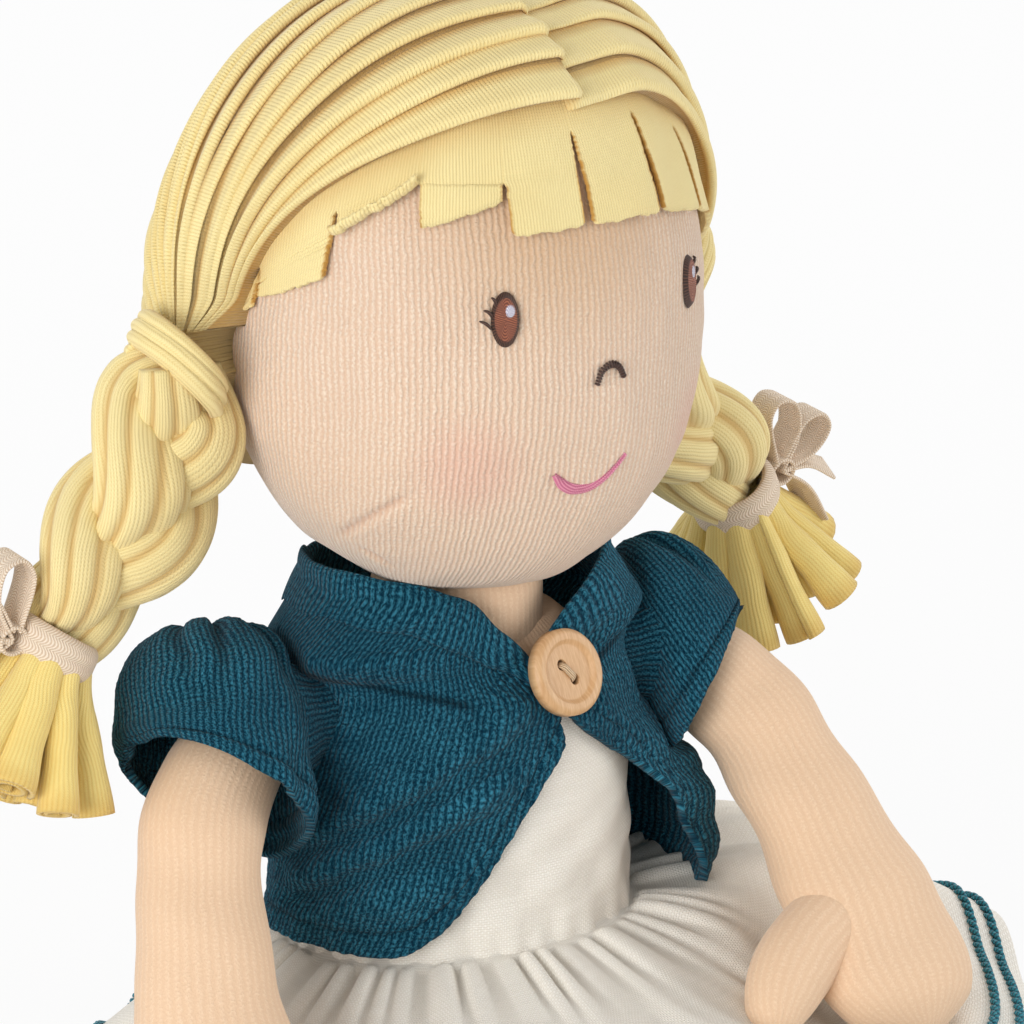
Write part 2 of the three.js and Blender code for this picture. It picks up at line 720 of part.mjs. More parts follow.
function sleeve(name) {
  const reach = 2 * sleeveRadii[name] + shoulderPlane;
  const inward = (from) => block(point(from - 2 * reach, -reach, -reach),
    point(from, reach, reach));
  const hollow = cut(sleeveDome(name, sleeveWall, overrun, 16), inward(shoulderPlane + sleeveWall));
  const armhole = rodAlongX(shoulderRadius + gap, shoulderSeat, shoulderPlane + 2 * sleeveWall);
  return cut(sleeveDome(name, 0, 0, 3 * sleeveGathers), inward(shoulderPlane), hollow, armhole);
}

// Legs, lying along -Y from the hip, cut flat underneath

const legAxisHeight = (radius) => radius - legFlat;
const legRadiusAt = (share) => legRadius * shareAt(legShares, 1, share);

function leg() {
  const heel = legAxisHeight(ankleRadius);
  const curve = new THREE.CatmullRomCurve3([
    ...legShares.map(([share]) => point(0, -legLength * share, legAxisHeight(legRadiusAt(share)))),
    ...footPathShares.map(([out, up]) => point(0, -legLength - footRadius * out,
      heel + footRise * up))]);
  const length = curve.getLength();
  const limb = sweep(curve, 17, 12, point(1, 0, 0), (t) => {
    const past = (t * length - legLength) / (length - legLength);
    const closed = max(past - toeShare, 0) / (1 - toeShare);
    const radius = past < 0 ? legRadiusAt((t * length) / legLength)
      : mix(ankleRadius, footRadius, past) * sqrt(1 - toeRoundShare * closed ** 2);
    return [radius, radius];
  });
  const hip = ball(hipRadius, 12).translate(0, 0, legAxisHeight(hipRadius));
  const reach = 2 * legLength;
  return cut(join(limb, hip), block(point(-reach, -reach, -reach), point(reach, reach, 0)));
}

// Bolero: three panels and a collar band over the dress

const boleroLift = gap + linenCloth + gap;
const seamPlace = THREE.MathUtils.radToDeg(gap / torsoHalfWidth);

const topEdge = (beside) => mix(neckline, boleroTop, ease(beside, 0, necklineSpread));

function bottomEdge(place) {
  const beside = place - frontPlace;
  const name = beside < 0 ? 'right' : 'left';
  const share = min(abs(beside) / cutawaySpreads[name], 1) ** cutawayPowers[name];
  return mix(cutawayHeight, boleroHem, ease(mix(cutawayLeadShare, 1, share), 0, 1));
}

function bolero(from, to, columns) {
  const middle = (waistHeight + torsoHeight) / 2;
  const panel = wall(columns, 7, (u, v, layer) => {
    const place = mix(from, to, u);
    const height = mix(topEdge(abs(place - frontPlace)), bottomEdge(place), v);
    const down = max(middle - height, 0) / (middle - waistHeight);
    const flare = hemFlare * min(down, 1) ** 2;
    return onTorso(degrees(place), height, boleroLift + flare + layer * velourCloth);
  });
  const armholes = [-1, 1].map((side) => rodAlongX(armholeRadius, side * shoulderSeat / 2,
    side * (torsoHalfWidth + 2 * overrun), 20).translate(0, 0, shoulderHeight));
  return cut(panel, ...armholes);
}

function collar() {
  const edge = boleroTop + gap;
  return wall(36, 2, (u, v, layer) => {
    const round = mix(2 * seamPlace, fullTurn - 2 * seamPlace, u);
    const beside = min(round, fullTurn - round);
    const width = mix(collarFrontWidth, collarBackWidth,
      ease(beside, collarWidens.from, collarWidens.to));
    const height = topEdge(beside) + gap + width * v;
    const seat = onTorso(degrees(frontPlace + round), min(height, edge),
      boleroLift + layer * velourCloth);
    seat.z += max(height - edge, 0);
    return seat;
  });
}

// Button: a turned disc with a raised rim and two holes
function button() {
  const [r, t, rim] = [buttonRadius, buttonThickness, buttonRim];
  const disc = turned([[0, 0], [r - rim, 0], [r, rim], [r, t - rim / 2], [r - rim / 2, t],
    [r - 2 * rim, t], [r - 3 * rim, t - rim], [0, t - rim]], 26);
  const holes = [-1, 1].map((side) => new THREE.CylinderGeometry(buttonHoleRadius,
    buttonHoleRadius, 2 * t, 8).rotateX(PI / 2).translate(0, (side * buttonHoleSpacing) / 2, 0));
  const turn = degrees(buttonPlace);
  const lift = boleroLift + velourCloth + gap;
  return cut(disc, ...holes).rotateZ(degrees(buttonTurn)).applyMatrix4(
    facing(onTorso(turn, buttonHeight, lift), onTorso(turn, buttonHeight, lift + t)));
}

// Dress

function bodice() {
  return wall(bodySides, 4, (u, v, layer) => {
    const turn = 2 * PI * u;
    const top = bodiceTop - bodiceArmholeDrop * abs(sin(turn)) ** 6;
    return onTorso(turn, mix(waistHeight, top, v), gap + layer * linenCloth);
  }, true);
}

const softMax = (a, b) => (a + b + hypot(a - b, drapeBlend)) / 2;
const softMin = (a, b) => (a + b - hypot(a - b, drapeBlend)) / 2;

// What lies under the skirt and on it, as points with a radius
function limbPoints() {
  const steps = Array.from({ length: 8 }, (_, i) => (i + 1) / 10);
  const legs = [-1, 1].flatMap((side) => steps.map((share) => {
    const radius = legRadiusAt(share);
    const turn = degrees(legSplay * side);
    return { radius, x: side * hipPlace + legLength * share * sin(turn),
      y: -hipForward - legLength * share * cos(turn), z: legAxisHeight(radius) };
  }));
  const arms = [['right', -1], ['left', 1]].flatMap(([name, side]) => {
    const curve = armCurve(name);
    const lean = degrees(armLeans[name]);
    return steps.slice(2).map((share) => {
      const seat = curve.getPointAt(mix(share, 1, share / 2));
      return { radius: upperArmRadius * shareAt(armShares, 1, share), x: side * seat.x,
        y: seat.z * sin(lean), z: shoulderHeight + seat.z * cos(lean) };
    });
  });
  return { legs, arms };
}

function skirt() {
  const { legs, arms } = limbPoints();
  return wall(4 * skirtFolds, 8, (u, v, layer) => {
    const turn = 2 * PI * u;
    const place = u * fullTurn;
    const raised = 1 - ease(abs(place - raisedPlace), raisedSpreads.full, raisedSpreads.none);
    const fold = foldDepth * cos(skirtFolds * turn) * v;
    const reach = skirtReach + fold / 2;
    const hem = point(reach * sin(turn), -reach * cos(turn), 0);
    const seat = onTorso(turn, waistHeight, boleroLift).lerp(hem, v);
    let height = mix(waistHeight, mix(hemHeight, raisedHemHeight, raised), v ** skirtSagShare)
      + mix(crown, raisedCrown, raised) * sin(PI * v) + fold;
    for (const { x, y, z, radius } of legs) {
      const away = hypot(seat.x - x, seat.y - y);
      height = softMax(height, z + radius + skirtToLeg - away * away / (2 * radius));
    }
    for (const { x, y, z, radius } of arms) {
      const away = hypot(seat.x - x, seat.y - y);
      height = softMin(height, z - radius - skirtToArm + away * away / (2 * dentRadius));
    }
    return point(seat.x, seat.y, max(height, gap) + layer * linenCloth);
  }, true);
}

// Model

const group = new THREE.Group();

function add(parent, name, geometry, colour, roughness = 0.9) {
  const mesh = new THREE.Mesh(geometry, new THREE.MeshStandardMaterial({ color: colour, roughness }));
  mesh.name = name;
  parent.add(mesh);
}

function place(parent, x, y, z, turns = [0, 0, 0]) {
  const frame = new THREE.Group();
  frame.position.set(x, y, z);
  frame.rotation.set(...turns.map(degrees));
  parent.add(frame);
  return frame;
}

const skin = 0xf0cba5;
const face = 0xf3d4ba;
const hairYellow = 0xf4de96;
const teal = 0x2a6074;
const linen = 0xe1d9cd;
const tape = 0xe1cdb9;
const wood = 0xd8b082;
const brown = 0x5c3a2d;
const pink = 0xde789b;

add(group, 'torso', torso(), skin);
add(group, 'neck', neck(), skin);
add(group, 'dress_bodice', bodice(), linen);
add(group, 'dress_skirt', skirt(), linen);
add(group, 'bolero_back', bolero(sidePlace, fullTurn - sidePlace, 14), teal);
add(group, 'bolero_front_right', bolero(seamPlace - sidePlace, frontPlace - seamPlace, 11), teal);
add(group, 'bolero_front_left', bolero(frontPlace + seamPlace, sidePlace - seamPlace, 10), teal);
add(group, 'bolero_collar', collar(), teal);
add(group, 'button', button(), wood, 0.45);

const headFrame = place(group, 0, -headForward, headHeight, [0, 0, headTurn]);
add(headFrame, 'head', head(), face);
add(headFrame, 'eye_right', eye(eyePlaces.right), brown, 0.5);
add(headFrame, 'eye_left', eye(eyePlaces.left), brown, 0.5);
add(headFrame, 'nose', nose(), brown, 0.6);
add(headFrame, 'mouth', mouth(), pink, 0.6);
add(headFrame, 'fringe', fringe(), hairYellow);

for (const [name, side] of [['right', -1], ['left', 1]]) {
  const shaped = (geometry) => (side < 0 ? mirrored(geometry) : geometry);
  add(headFrame, `hair_${name}`, hairPanel(name, side), hairYellow);

  const tie = tieSeat(side);
  const hanging = place(headFrame, tie.x, tie.y, tie.z, plaitTurn(name, side));
  add(hanging, `plait_wrap_${name}`, band(wrapRadius, wrapHeight, 0), hairYellow);
  for (const index of [0, 1, 2]) {
    add(hanging, `plait_strand_${name}_${index + 1}`, shaped(strand(index)), hairYellow);
  }
  add(hanging, `plait_tape_${name}`, band(tapeRadius, tapeHeight, -plaitLength), tape);
  add(hanging, `plait_bow_${name}`, shaped(bow()), tape);
  add(hanging, `plait_tuft_${name}`, tuft(), hairYellow);

  const shoulder = place(group, 0, 0, shoulderHeight, [-armLeans[name], 0, 0]);
  add(shoulder, `arm_${name}`, shaped(arm(name)), skin);
  add(shoulder, `sleeve_${name}`, shaped(sleeve(name)), teal);

  const hip = place(group, side * hipPlace, -hipForward, 0, [0, 0, side * legSplay]);
  add(hip, `leg_${name}`, leg(), skin);
}

export default group;
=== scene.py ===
import bpy
import numpy as np
from mathutils import Matrix


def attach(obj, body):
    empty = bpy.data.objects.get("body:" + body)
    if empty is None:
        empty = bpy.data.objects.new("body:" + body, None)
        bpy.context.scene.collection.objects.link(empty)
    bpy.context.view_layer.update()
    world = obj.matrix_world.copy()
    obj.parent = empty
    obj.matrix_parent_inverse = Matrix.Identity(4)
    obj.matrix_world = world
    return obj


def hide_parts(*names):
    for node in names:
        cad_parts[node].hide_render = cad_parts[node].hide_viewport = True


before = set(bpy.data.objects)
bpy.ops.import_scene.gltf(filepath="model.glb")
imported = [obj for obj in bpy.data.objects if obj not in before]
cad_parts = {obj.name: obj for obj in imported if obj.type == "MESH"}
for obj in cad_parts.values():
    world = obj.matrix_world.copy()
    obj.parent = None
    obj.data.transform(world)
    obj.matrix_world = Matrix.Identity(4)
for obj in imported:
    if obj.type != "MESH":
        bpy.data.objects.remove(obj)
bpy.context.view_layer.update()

TURN = 2 * np.pi
SIDES = ((-1, "right"), (1, "left"))      # the doll's own; its left is +x
scene = bpy.context.scene

# Shapes are worked out in millimetres, as in the part, and become metres in piece().

# Camera, light and floor


def look(name, back, right, up, place, lens):
    """Camera at a place: its axes are right, up and back; lens on a 36 mm sensor."""
    data = bpy.data.cameras.new(name)
    data.lens, data.sensor_width = lens, 36
    data.clip_start, data.clip_end = 0.05, 20
    camera = bpy.data.objects.new(name, data)
    columns = [right, up, back, [c / 1000 for c in place]]
    camera.matrix_world = Matrix([[c[i] for c in columns] for i in range(3)] + [[0, 0, 0, 1]])
    scene.collection.objects.link(camera)
    return camera


heading, tilt = np.radians(-32.56), np.radians(17.37)
camera_place, camera_lens = (-511.86, -822.15, 429.82), 179.3
back = (np.sin(heading) * np.cos(tilt), -np.cos(heading) * np.cos(tilt), np.sin(tilt))
right = (np.cos(heading), np.sin(heading), 0)
up = tuple(np.cross(back, right))
scene.camera = look("camera", back, right, up, camera_place, camera_lens)
scene.view_settings.view_transform = "Standard"


# Nodes


class Field:
    """A value that varies over a surface; arithmetic on it adds Math nodes."""

    def __init__(self, nodes, socket):
        self.nodes, self.socket = nodes, socket

    def __add__(self, other):
        return self.nodes.maths("ADD", self, other)

    def __sub__(self, other):
        return self.nodes.maths("SUBTRACT", self, other)

    def __rsub__(self, other):
        return self.nodes.maths("SUBTRACT", other, self)

    def __mul__(self, other):
        return self.nodes.maths("MULTIPLY", self, other)

    def __truediv__(self, other):
        return self.nodes.maths("DIVIDE", self, other)

    def __pow__(self, other):
        return self.nodes.maths("POWER", self, other)

    def __neg__(self):
        return self * -1

    __radd__, __rmul__ = __add__, __mul__

    def size(self):
        return self.nodes.maths("ABSOLUTE", self)

    def sine(self):
        return self.nodes.maths("SINE", self)

    def within(self, low, high):
        """0 at low, 1 at high, smooth between."""
        return self.nodes.node("ShaderNodeMapRange", {"interpolation_type": "SMOOTHSTEP"},
                               {"Value": self, "From Min": low, "From Max": high})


class Nodes:
    """A node tree that is filled node by node."""

    def __init__(self, owner):
        owner.use_nodes = True
        self.tree = owner.node_tree

    def node(self, kind, settings, values, out=0):
        """One node: its settings first, then the values or links of its sockets."""
        made = self.tree.nodes.new(kind)
        for name, value in settings.items():
            setattr(made, name, value)
        for key, value in values.items():
            if isinstance(value, Field):
                self.tree.links.new(value.socket, made.inputs[key])
            else:
                made.inputs[key].default_value = value
        return Field(self, made.outputs[out])

    def maths(self, operation, *values):
        return self.node("ShaderNodeMath", {"operation": operation}, dict(enumerate(values)))

    def vector(self, x, y, z=0):
        return self.node("ShaderNodeCombineXYZ", {}, {0: x, 1: y, 2: z})

    def noise(self, place, scale, detail=2.0, rough=0.5):
        return self.node("ShaderNodeTexNoise", {}, {
            "Vector": place, "Scale": scale, "Detail": detail, "Roughness": rough})

    def blend(self, mask, one, other):
        """Colour one where the mask is 0, the other where it is 1."""
        return self.node("ShaderNodeMix", {"data_type": "RGBA"}, {0: mask, 6: one, 7: other}, 2)


def srgb(r, g, b):
    """A colour as it is seen, 0 to 255, as the linear one that the shader takes."""
    c = np.array([r, g, b]) / 255
    return (*np.where(c <= 0.04045, c / 12.92, ((c + 0.055) / 1.055) ** 2.4), 1.0)


class Finish(Nodes):
    """A material on the piece's own place map, u across and v along in mm."""

    def __init__(self, name, **constants):
        self.material = bpy.data.materials.new(name)
        super().__init__(self.material)
        self.shader = self.tree.nodes["Principled BSDF"]
        for key, value in constants.items():
            self.shader.inputs[key.replace("_", " ")].default_value = value
        self.place = self.node("ShaderNodeUVMap", {"uv_map": "place"}, {})
        self.u, self.v = (self.node("ShaderNodeSeparateXYZ", {}, {0: self.place}, k)
                          for k in (0, 1))
        # painted shade: a point attribute that darkens the colour in folds, seams, grooves, holes
        # and hollows
        self.painted_shade = self.node("ShaderNodeAttribute", {"attribute_name": "painted_shade"}, {}, 2)
        self.spot = self.node("ShaderNodeTexCoord", {}, {}, 3)

    def finish(self, colour, rough, height=None, depth=0.3):
        """Colour, roughness and a bump whose height 1 stands depth mm high."""
        self.tree.links.new(colour.socket, self.shader.inputs["Base Color"])
        self.tree.links.new(rough.socket, self.shader.inputs["Roughness"])
        if height is not None:
            bump = self.node("ShaderNodeBump", {}, {
                "Height": height, "Distance": depth / 1000, "Strength": 1.0})
            self.tree.links.new(bump.socket, self.shader.inputs["Normal"])
        return self.material


def ribbed_velour(name, ridge, groove, deep, pitch=1.65, rise=0.3, blush_and_fringe_shadow=(), tufts=0.6,
                  wales=0.75, sheen=0.3, patch=0.2, knot=1.05, fuzz=1.5, specular=0.12):
    """Velour with wales along v: rounded ridges one pitch apart, each a row of tufts a knot
    long that start at a place of its own, all blurred by the pile."""
    f = Finish(name, Sheen_Weight=sheen, Sheen_Roughness=0.45, Specular_IOR_Level=specular)
    wander = f.noise(f.place, 0.06, 2) * 1.6 + f.noise(f.place, 0.45, 1) * 0.8
    u = (f.u + wander) / pitch
    wale = 1 - ((u * TURN / 2).sine().size() ** 2.2)
    start = f.node("ShaderNodeTexWhiteNoise", {"noise_dimensions": "1D"}, {
        "W": f.maths("FLOOR", u)})
    tuft = ((f.v / knot + start * 7 + f.noise(f.place, 0.9, 2) * 1.6) * TURN / 2).sine() ** 2
    pile = f.noise(f.vector(f.u * 2.1, f.v * 1.3), 1.5, 3, 0.7)
    height = wale * (wales + tuft * tufts) + pile * 0.9
    tone = wale * (wales * 0.55 + tuft * tufts * 0.75) + (pile - 0.5) * fuzz
    colour = f.blend(tone.within(-0.12, 0.95), groove, ridge)
    broad = f.noise(f.spot, 38.0, 3)
    colour = f.blend(broad.within(0.3, 0.75) * patch, colour, groove)
    # real blush on the cheeks, and a painted shadow under the fringe
    for place, radius, tint, most in blush_and_fringe_shadow:
        away = f.node("ShaderNodeVectorMath", {"operation": "DISTANCE"},
                      {0: f.spot, 1: tuple(c / 1000 for c in place)}, 1)
        colour = f.blend((1 - away.within(radius * 0.15 / 1000, radius / 1000)) * most,
                         colour, tint)
    # painted shade: the colour goes to deep where the piece's shade attribute is high
    colour = f.blend(f.painted_shade, colour, deep)
    return f.finish(colour, 0.82 + pile * 0.12, height, rise)


def knitted_jersey(name, light, shade, deep, column=0.66):
    """Jersey: knit columns along v, each a row of small slanted stitches, soft uneven tone."""
    f = Finish(name, Sheen_Weight=0.25, Sheen_Roughness=0.45, Specular_IOR_Level=0.12)
    u = f.u + f.noise(f.place, 0.11, 2) * 0.8
    rib = (u / column * TURN / 2).sine().size()
    slant = (f.v / 0.5 * TURN / 2 + rib * 2.6 + f.noise(f.place, 0.5, 1) * 2).sine() ** 2
    fuzz = f.noise(f.place, 2.4, 3, 0.65)
    broad = f.noise(f.spot, 60.0, 3)
    tone = (rib * 0.4 + slant * 0.4 + fuzz * 0.5).within(0.15, 0.95)
    colour = f.blend(tone, shade, light)
    colour = f.blend(broad.within(0.35, 0.75) * 0.3, colour, shade)
    # painted shade: the colour goes to deep where the piece's shade attribute is high
    colour = f.blend(f.painted_shade, colour, deep)
    return f.finish(colour, 0.85 + fuzz * 0.1, rib * 0.6 + slant * 0.25 + fuzz * 0.4, 0.16)


def woven_linen(name, light, shade, deep, thread):
    """Plain weave: warp and weft pass over each other in turn; threads vary in thickness."""
    f = Finish(name, Sheen_Weight=0.12, Sheen_Roughness=0.5, Specular_IOR_Level=0.25)
    slub_u = f.noise(f.vector(f.u * 1.7, f.v * 0.06), 1.0, 2)
    slub_v = f.noise(f.vector(f.u * 0.06, f.v * 1.7, 7), 1.0, 2)
    u = (f.u + f.noise(f.place, 0.2, 1) * 0.7) / thread * TURN / 2
    v = (f.v + f.noise(f.place, 0.17, 1) * 0.7) / thread * TURN / 2
    over = (u.sine() * v.sine()).within(-0.35, 0.35)
    warp, weft = u.sine() ** 2, v.sine() ** 2
    height = over * (0.55 * warp + 0.45) + (1 - over) * (0.55 * weft + 0.1)
    height = height * (0.6 + 0.4 * slub_u) + 0.35 * slub_v
    fuzz = f.noise(f.place, 3.0, 2, 0.6)
    tone = (height * 0.8 + fuzz * 0.25).within(0.25, 0.95)
    colour = f.blend(tone, shade, light)
    colour = f.blend(f.noise(f.spot, 30.0, 3).within(0.35, 0.75) * 0.15, colour, shade)
    # painted shade: the colour goes to deep where the piece's shade attribute is high
    colour = f.blend(f.painted_shade, colour, deep)
    return f.finish(colour, 0.8 + fuzz * 0.15, height, 0.2)


def herringbone_tape(name, light, shade, deep):
    """Cotton tape: slanting twill lines that turn back at the middle of each stripe."""
    f = Finish(name, Sheen_Weight=0.15, Specular_IOR_Level=0.25)
    fold = (f.u / 2.5 * TURN / 2).sine().size()
    line = ((f.v + fold * 1.0) / 0.62 * TURN / 2).sine() ** 2
    fuzz = f.noise(f.place, 3.0, 2, 0.6)
    tone = (line * 0.6 + fuzz * 0.5).within(0.15, 0.85)
    # painted shade: the colour goes to deep where the piece's shade attribute is high
    colour = f.blend(f.painted_shade, f.blend(tone, shade, light), deep)
    return f.finish(colour, 0.8 + fuzz * 0.1, line * 0.7 + fuzz * 0.3, 0.16)


def satin_thread(name, light, shade, pitch=0.42, along=False):
    """Embroidery thread: glossy stitches side by side."""
    f = Finish(name, Sheen_Weight=0.1, Specular_IOR_Level=0.45)
    way = f.v if along else f.u
    line = (way / pitch * TURN / 2 + f.noise(f.place, 0.6, 1) * 1.2).sine() ** 2
    fuzz = f.noise(f.place, 4.0, 2)
    colour = f.blend((line * 0.75 + fuzz * 0.3).within(0.1, 0.85), shade, light)
    return f.finish(colour, 0.42 + fuzz * 0.2, line, 0.14)


def eye_thread(name, half_width, half_height):
    """Satin-stitched eye on a map of mm from its middle: dark ring of radial stitches,
    brown filling of level stitches, a pale highlight up and to one side."""
    f = Finish(name, Specular_IOR_Level=0.45)
    x, y = f.u / half_width, f.v / half_height
    reach = (x * x + y * y) ** 0.5
    angle = f.maths("ARCTAN2", y, x)
    radial = (angle * 24 + f.noise(f.place, 0.9, 1) * 2).sine() ** 2
    level = ((f.v + f.u * 0.35) / 0.42 * TURN / 2 + f.noise(f.place, 0.8, 1) * 1.5).sine() ** 2
    ring = reach.within(0.72, 0.8)
    away = ((x - 0.3) ** 2 * 2.2 + (y - 0.3) ** 2 * 5.0) ** 0.5
    shine = 1 - away.within(0.42, 0.52)
    stitches = ring * radial + (1 - ring) * level
    colour = f.blend(ring, f.blend(level, srgb(104, 52, 40), srgb(182, 112, 82)),
                     f.blend(radial, srgb(38, 24, 22), srgb(92, 62, 50)))
    colour = f.blend(shine, colour, f.blend(level, srgb(198, 192, 214), srgb(244, 242, 252)))
    return f.finish(colour, 0.42 + f.noise(f.place, 4.0, 2) * 0.2,
                    stitches + ring * 0.5 + shine * 0.6, 0.16)


def light_wood(name):
    """Wood with fine grain: noise drawn out along one way, a soft sheen of oil."""
    f = Finish(name, Specular_IOR_Level=0.5)
    grain = f.noise(f.vector(f.u * 0.9, f.v * 0.09), 2.2, 4, 0.6)
    fine = f.noise(f.vector(f.u * 4.5, f.v * 0.35, 3), 1.6, 3, 0.6)
    colour = f.blend((grain * 0.7 + fine * 0.4).within(0.35, 0.85), srgb(196, 150, 102),
                     srgb(226, 190, 146))
    # painted shade: dark brown where the shade attribute is high, in the button's holes
    colour = f.blend(f.painted_shade, colour, srgb(70, 44, 26))
    return f.finish(colour, 0.36 + fine * 0.2, grain * 0.5 + fine * 0.4, 0.05)


# The third colour of each finish is its painted shade, blended in by the shade attribute
skin_arm = ribbed_velour("peach_velour_arms", srgb(252, 225, 196), srgb(234, 199, 165),
                         srgb(196, 138, 102), rise=0.16, tufts=0.3, wales=0.3, sheen=0.25)
hair_knit = knitted_jersey("yellow_jersey", srgb(246, 229, 170), srgb(228, 203, 137),
                           srgb(190, 136, 54))
# a deeper, more saturated copy of the same yellow jersey: painted shade for the rolled tufts
tuft_jersey_shaded_copy = knitted_jersey("yellow_jersey_shaded_ends", srgb(248, 228, 150), srgb(232, 196, 108),
                           srgb(196, 138, 46))
teal_velour = ribbed_velour("teal_velour", srgb(60, 136, 162), srgb(2, 42, 60),
                            srgb(0, 16, 26), pitch=1.36, rise=0.38, tufts=0.6, wales=0.5,
                            sheen=0.08, patch=0.45, fuzz=2.7, specular=0.04)
linen = woven_linen("cream_linen", srgb(252, 248, 240), srgb(230, 223, 210),
                    srgb(160, 146, 126), 0.5)
tape = herringbone_tape("woven_tape", srgb(243, 227, 207), srgb(208, 182, 154),
                        srgb(160, 124, 92))
brown_thread = satin_thread("brown_thread", srgb(92, 62, 50), srgb(44, 28, 24))
pink_thread = satin_thread("pink_thread", srgb(236, 158, 182), srgb(206, 106, 140), 0.55, True)
teal_thread = satin_thread("teal_thread", srgb(24, 134, 152), srgb(4, 74, 92), 0.5, True)
beige_thread = satin_thread("beige_thread", srgb(232, 206, 170), srgb(180, 146, 108))
wood = light_wood("button_wood")


# Shapes


def mix(a, b, t):
    return a + (b - a) * t


def ease(x, low, high):
    """Smooth step: 0 below low, 1 above high, 3t^2 - 2t^3 between."""
    t = np.clip((np.asarray(x, float) - low) / (high - low), 0, 1)
    return t * t * (3 - 2 * t)


def bell(x, width):
    """1 at 0, falling off as a bell of the given width."""
    return np.exp(-(np.asarray(x, float) / width) ** 2)


def unit(v):
    return v / np.linalg.norm(v, axis=-1, keepdims=True)


def spun(x, y, angle):
    """A point of a plane turned about its origin: x cos - y sin, x sin + y cos."""
    return x * np.cos(angle) - y * np.sin(angle), x * np.sin(angle) + y * np.cos(angle)


def spots(*columns):
    """Points from their x, y and z, spread to one shape."""
    return np.stack(np.broadcast_arrays(*columns), -1).astype(float)


def lumps(points, size, seed):
    """Soft unevenness: a sum of plane waves about size long, in seeded directions."""
    rng = np.random.default_rng(seed)
    ways = unit(rng.normal(size=(9, 3))) * TURN / (size * rng.uniform(0.7, 1.6, (9, 1)))
    return np.sin(points @ ways.T + rng.uniform(0, TURN, 9)).sum(-1) / 3


def frame_at(place, turns=(0, 0, 0)):
    """Rotation and shift of a frame: turned about z, then y, then x, in degrees."""
    (a, b, c), (p, q, r) = np.cos(np.radians(turns)), np.sin(np.radians(turns))
    x = np.array([[1, 0, 0], [0, a, -p], [0, p, a]])
    y = np.array([[b, 0, q], [0, 1, 0], [-q, 0, b]])
    z = np.array([[c, -r, 0], [r, c, 0], [0, 0, 1]])
    return x @ y @ z, np.array(place, float)


def within(frames, points, side=1):
    """Points from a nest of frames to the model, mirrored in x first for side -1."""
    points = points * [side, 1, 1]
    for turn, shift in reversed(frames):
        points = points @ turn.T + shift
    return points


def share_at(table, column, x):
    """Smooth curve through a table: cubic pieces, the slope at an entry that of the line
    through its neighbours."""
    rows = np.array(table, float)
    xs, ys, last = rows[:, 0], rows[:, column], len(rows) - 1
    low = np.maximum(np.arange(last + 1) - 1, 0)
    high = np.minimum(np.arange(last + 1) + 1, last)
    slope = (ys[high] - ys[low]) / (xs[high] - xs[low])
    j = np.clip(np.searchsorted(xs, x), 1, last)
    span = xs[j] - xs[j - 1]
    t = np.clip((x - xs[j - 1]) / span, 0, 1)
    a, b, p, q = ys[j - 1], ys[j], slope[j - 1] * span, slope[j] * span
    return a + t * (p + t * (3 * (b - a) - 2 * p - q + t * (2 * (a - b) + p + q)))


def through(places, steps):
    """A smooth curve through places, at equal steps along it: cubic pieces with the slopes
    of the lines through each place's neighbours."""
    places = np.array(places, float)
    chords = np.r_[0, np.cumsum(np.linalg.norm(np.diff(places, axis=0), axis=1))]
    fine = np.linspace(0, chords[-1], 40 * len(places))
    curve = np.stack([share_at(np.c_[chords, places], k + 1, fine)
                      for k in range(places.shape[1])], -1)
    lengths = np.r_[0, np.cumsum(np.linalg.norm(np.diff(curve, axis=0), axis=1))]
    wanted = np.linspace(0, lengths[-1], steps)
    return np.stack([np.interp(wanted, lengths, c) for c in curve.T], -1)


def carried(path, axis, wide, deep):
    """A section carried along a path: path + wide axis x wide + deep axis x deep. The deep
    axis is the given one made square to the path, the wide axis square to both."""
    along = unit(np.gradient(path, axis=0))
    axis = np.broadcast_to(np.asarray(axis, float), path.shape)
    depth = unit(axis - along * (along * axis).sum(-1, keepdims=True))
    width = np.cross(along, depth)
    return (path[:, None] + width[:, None] * np.asarray(wide)[..., None]
            + depth[:, None] * np.asarray(deep)[..., None])


def travel(points):
    """Length from the first row along each column, as a mean over the columns."""
    steps = np.linalg.norm(np.diff(points, axis=0), axis=-1).mean(1)
    return np.r_[0, np.cumsum(steps)]


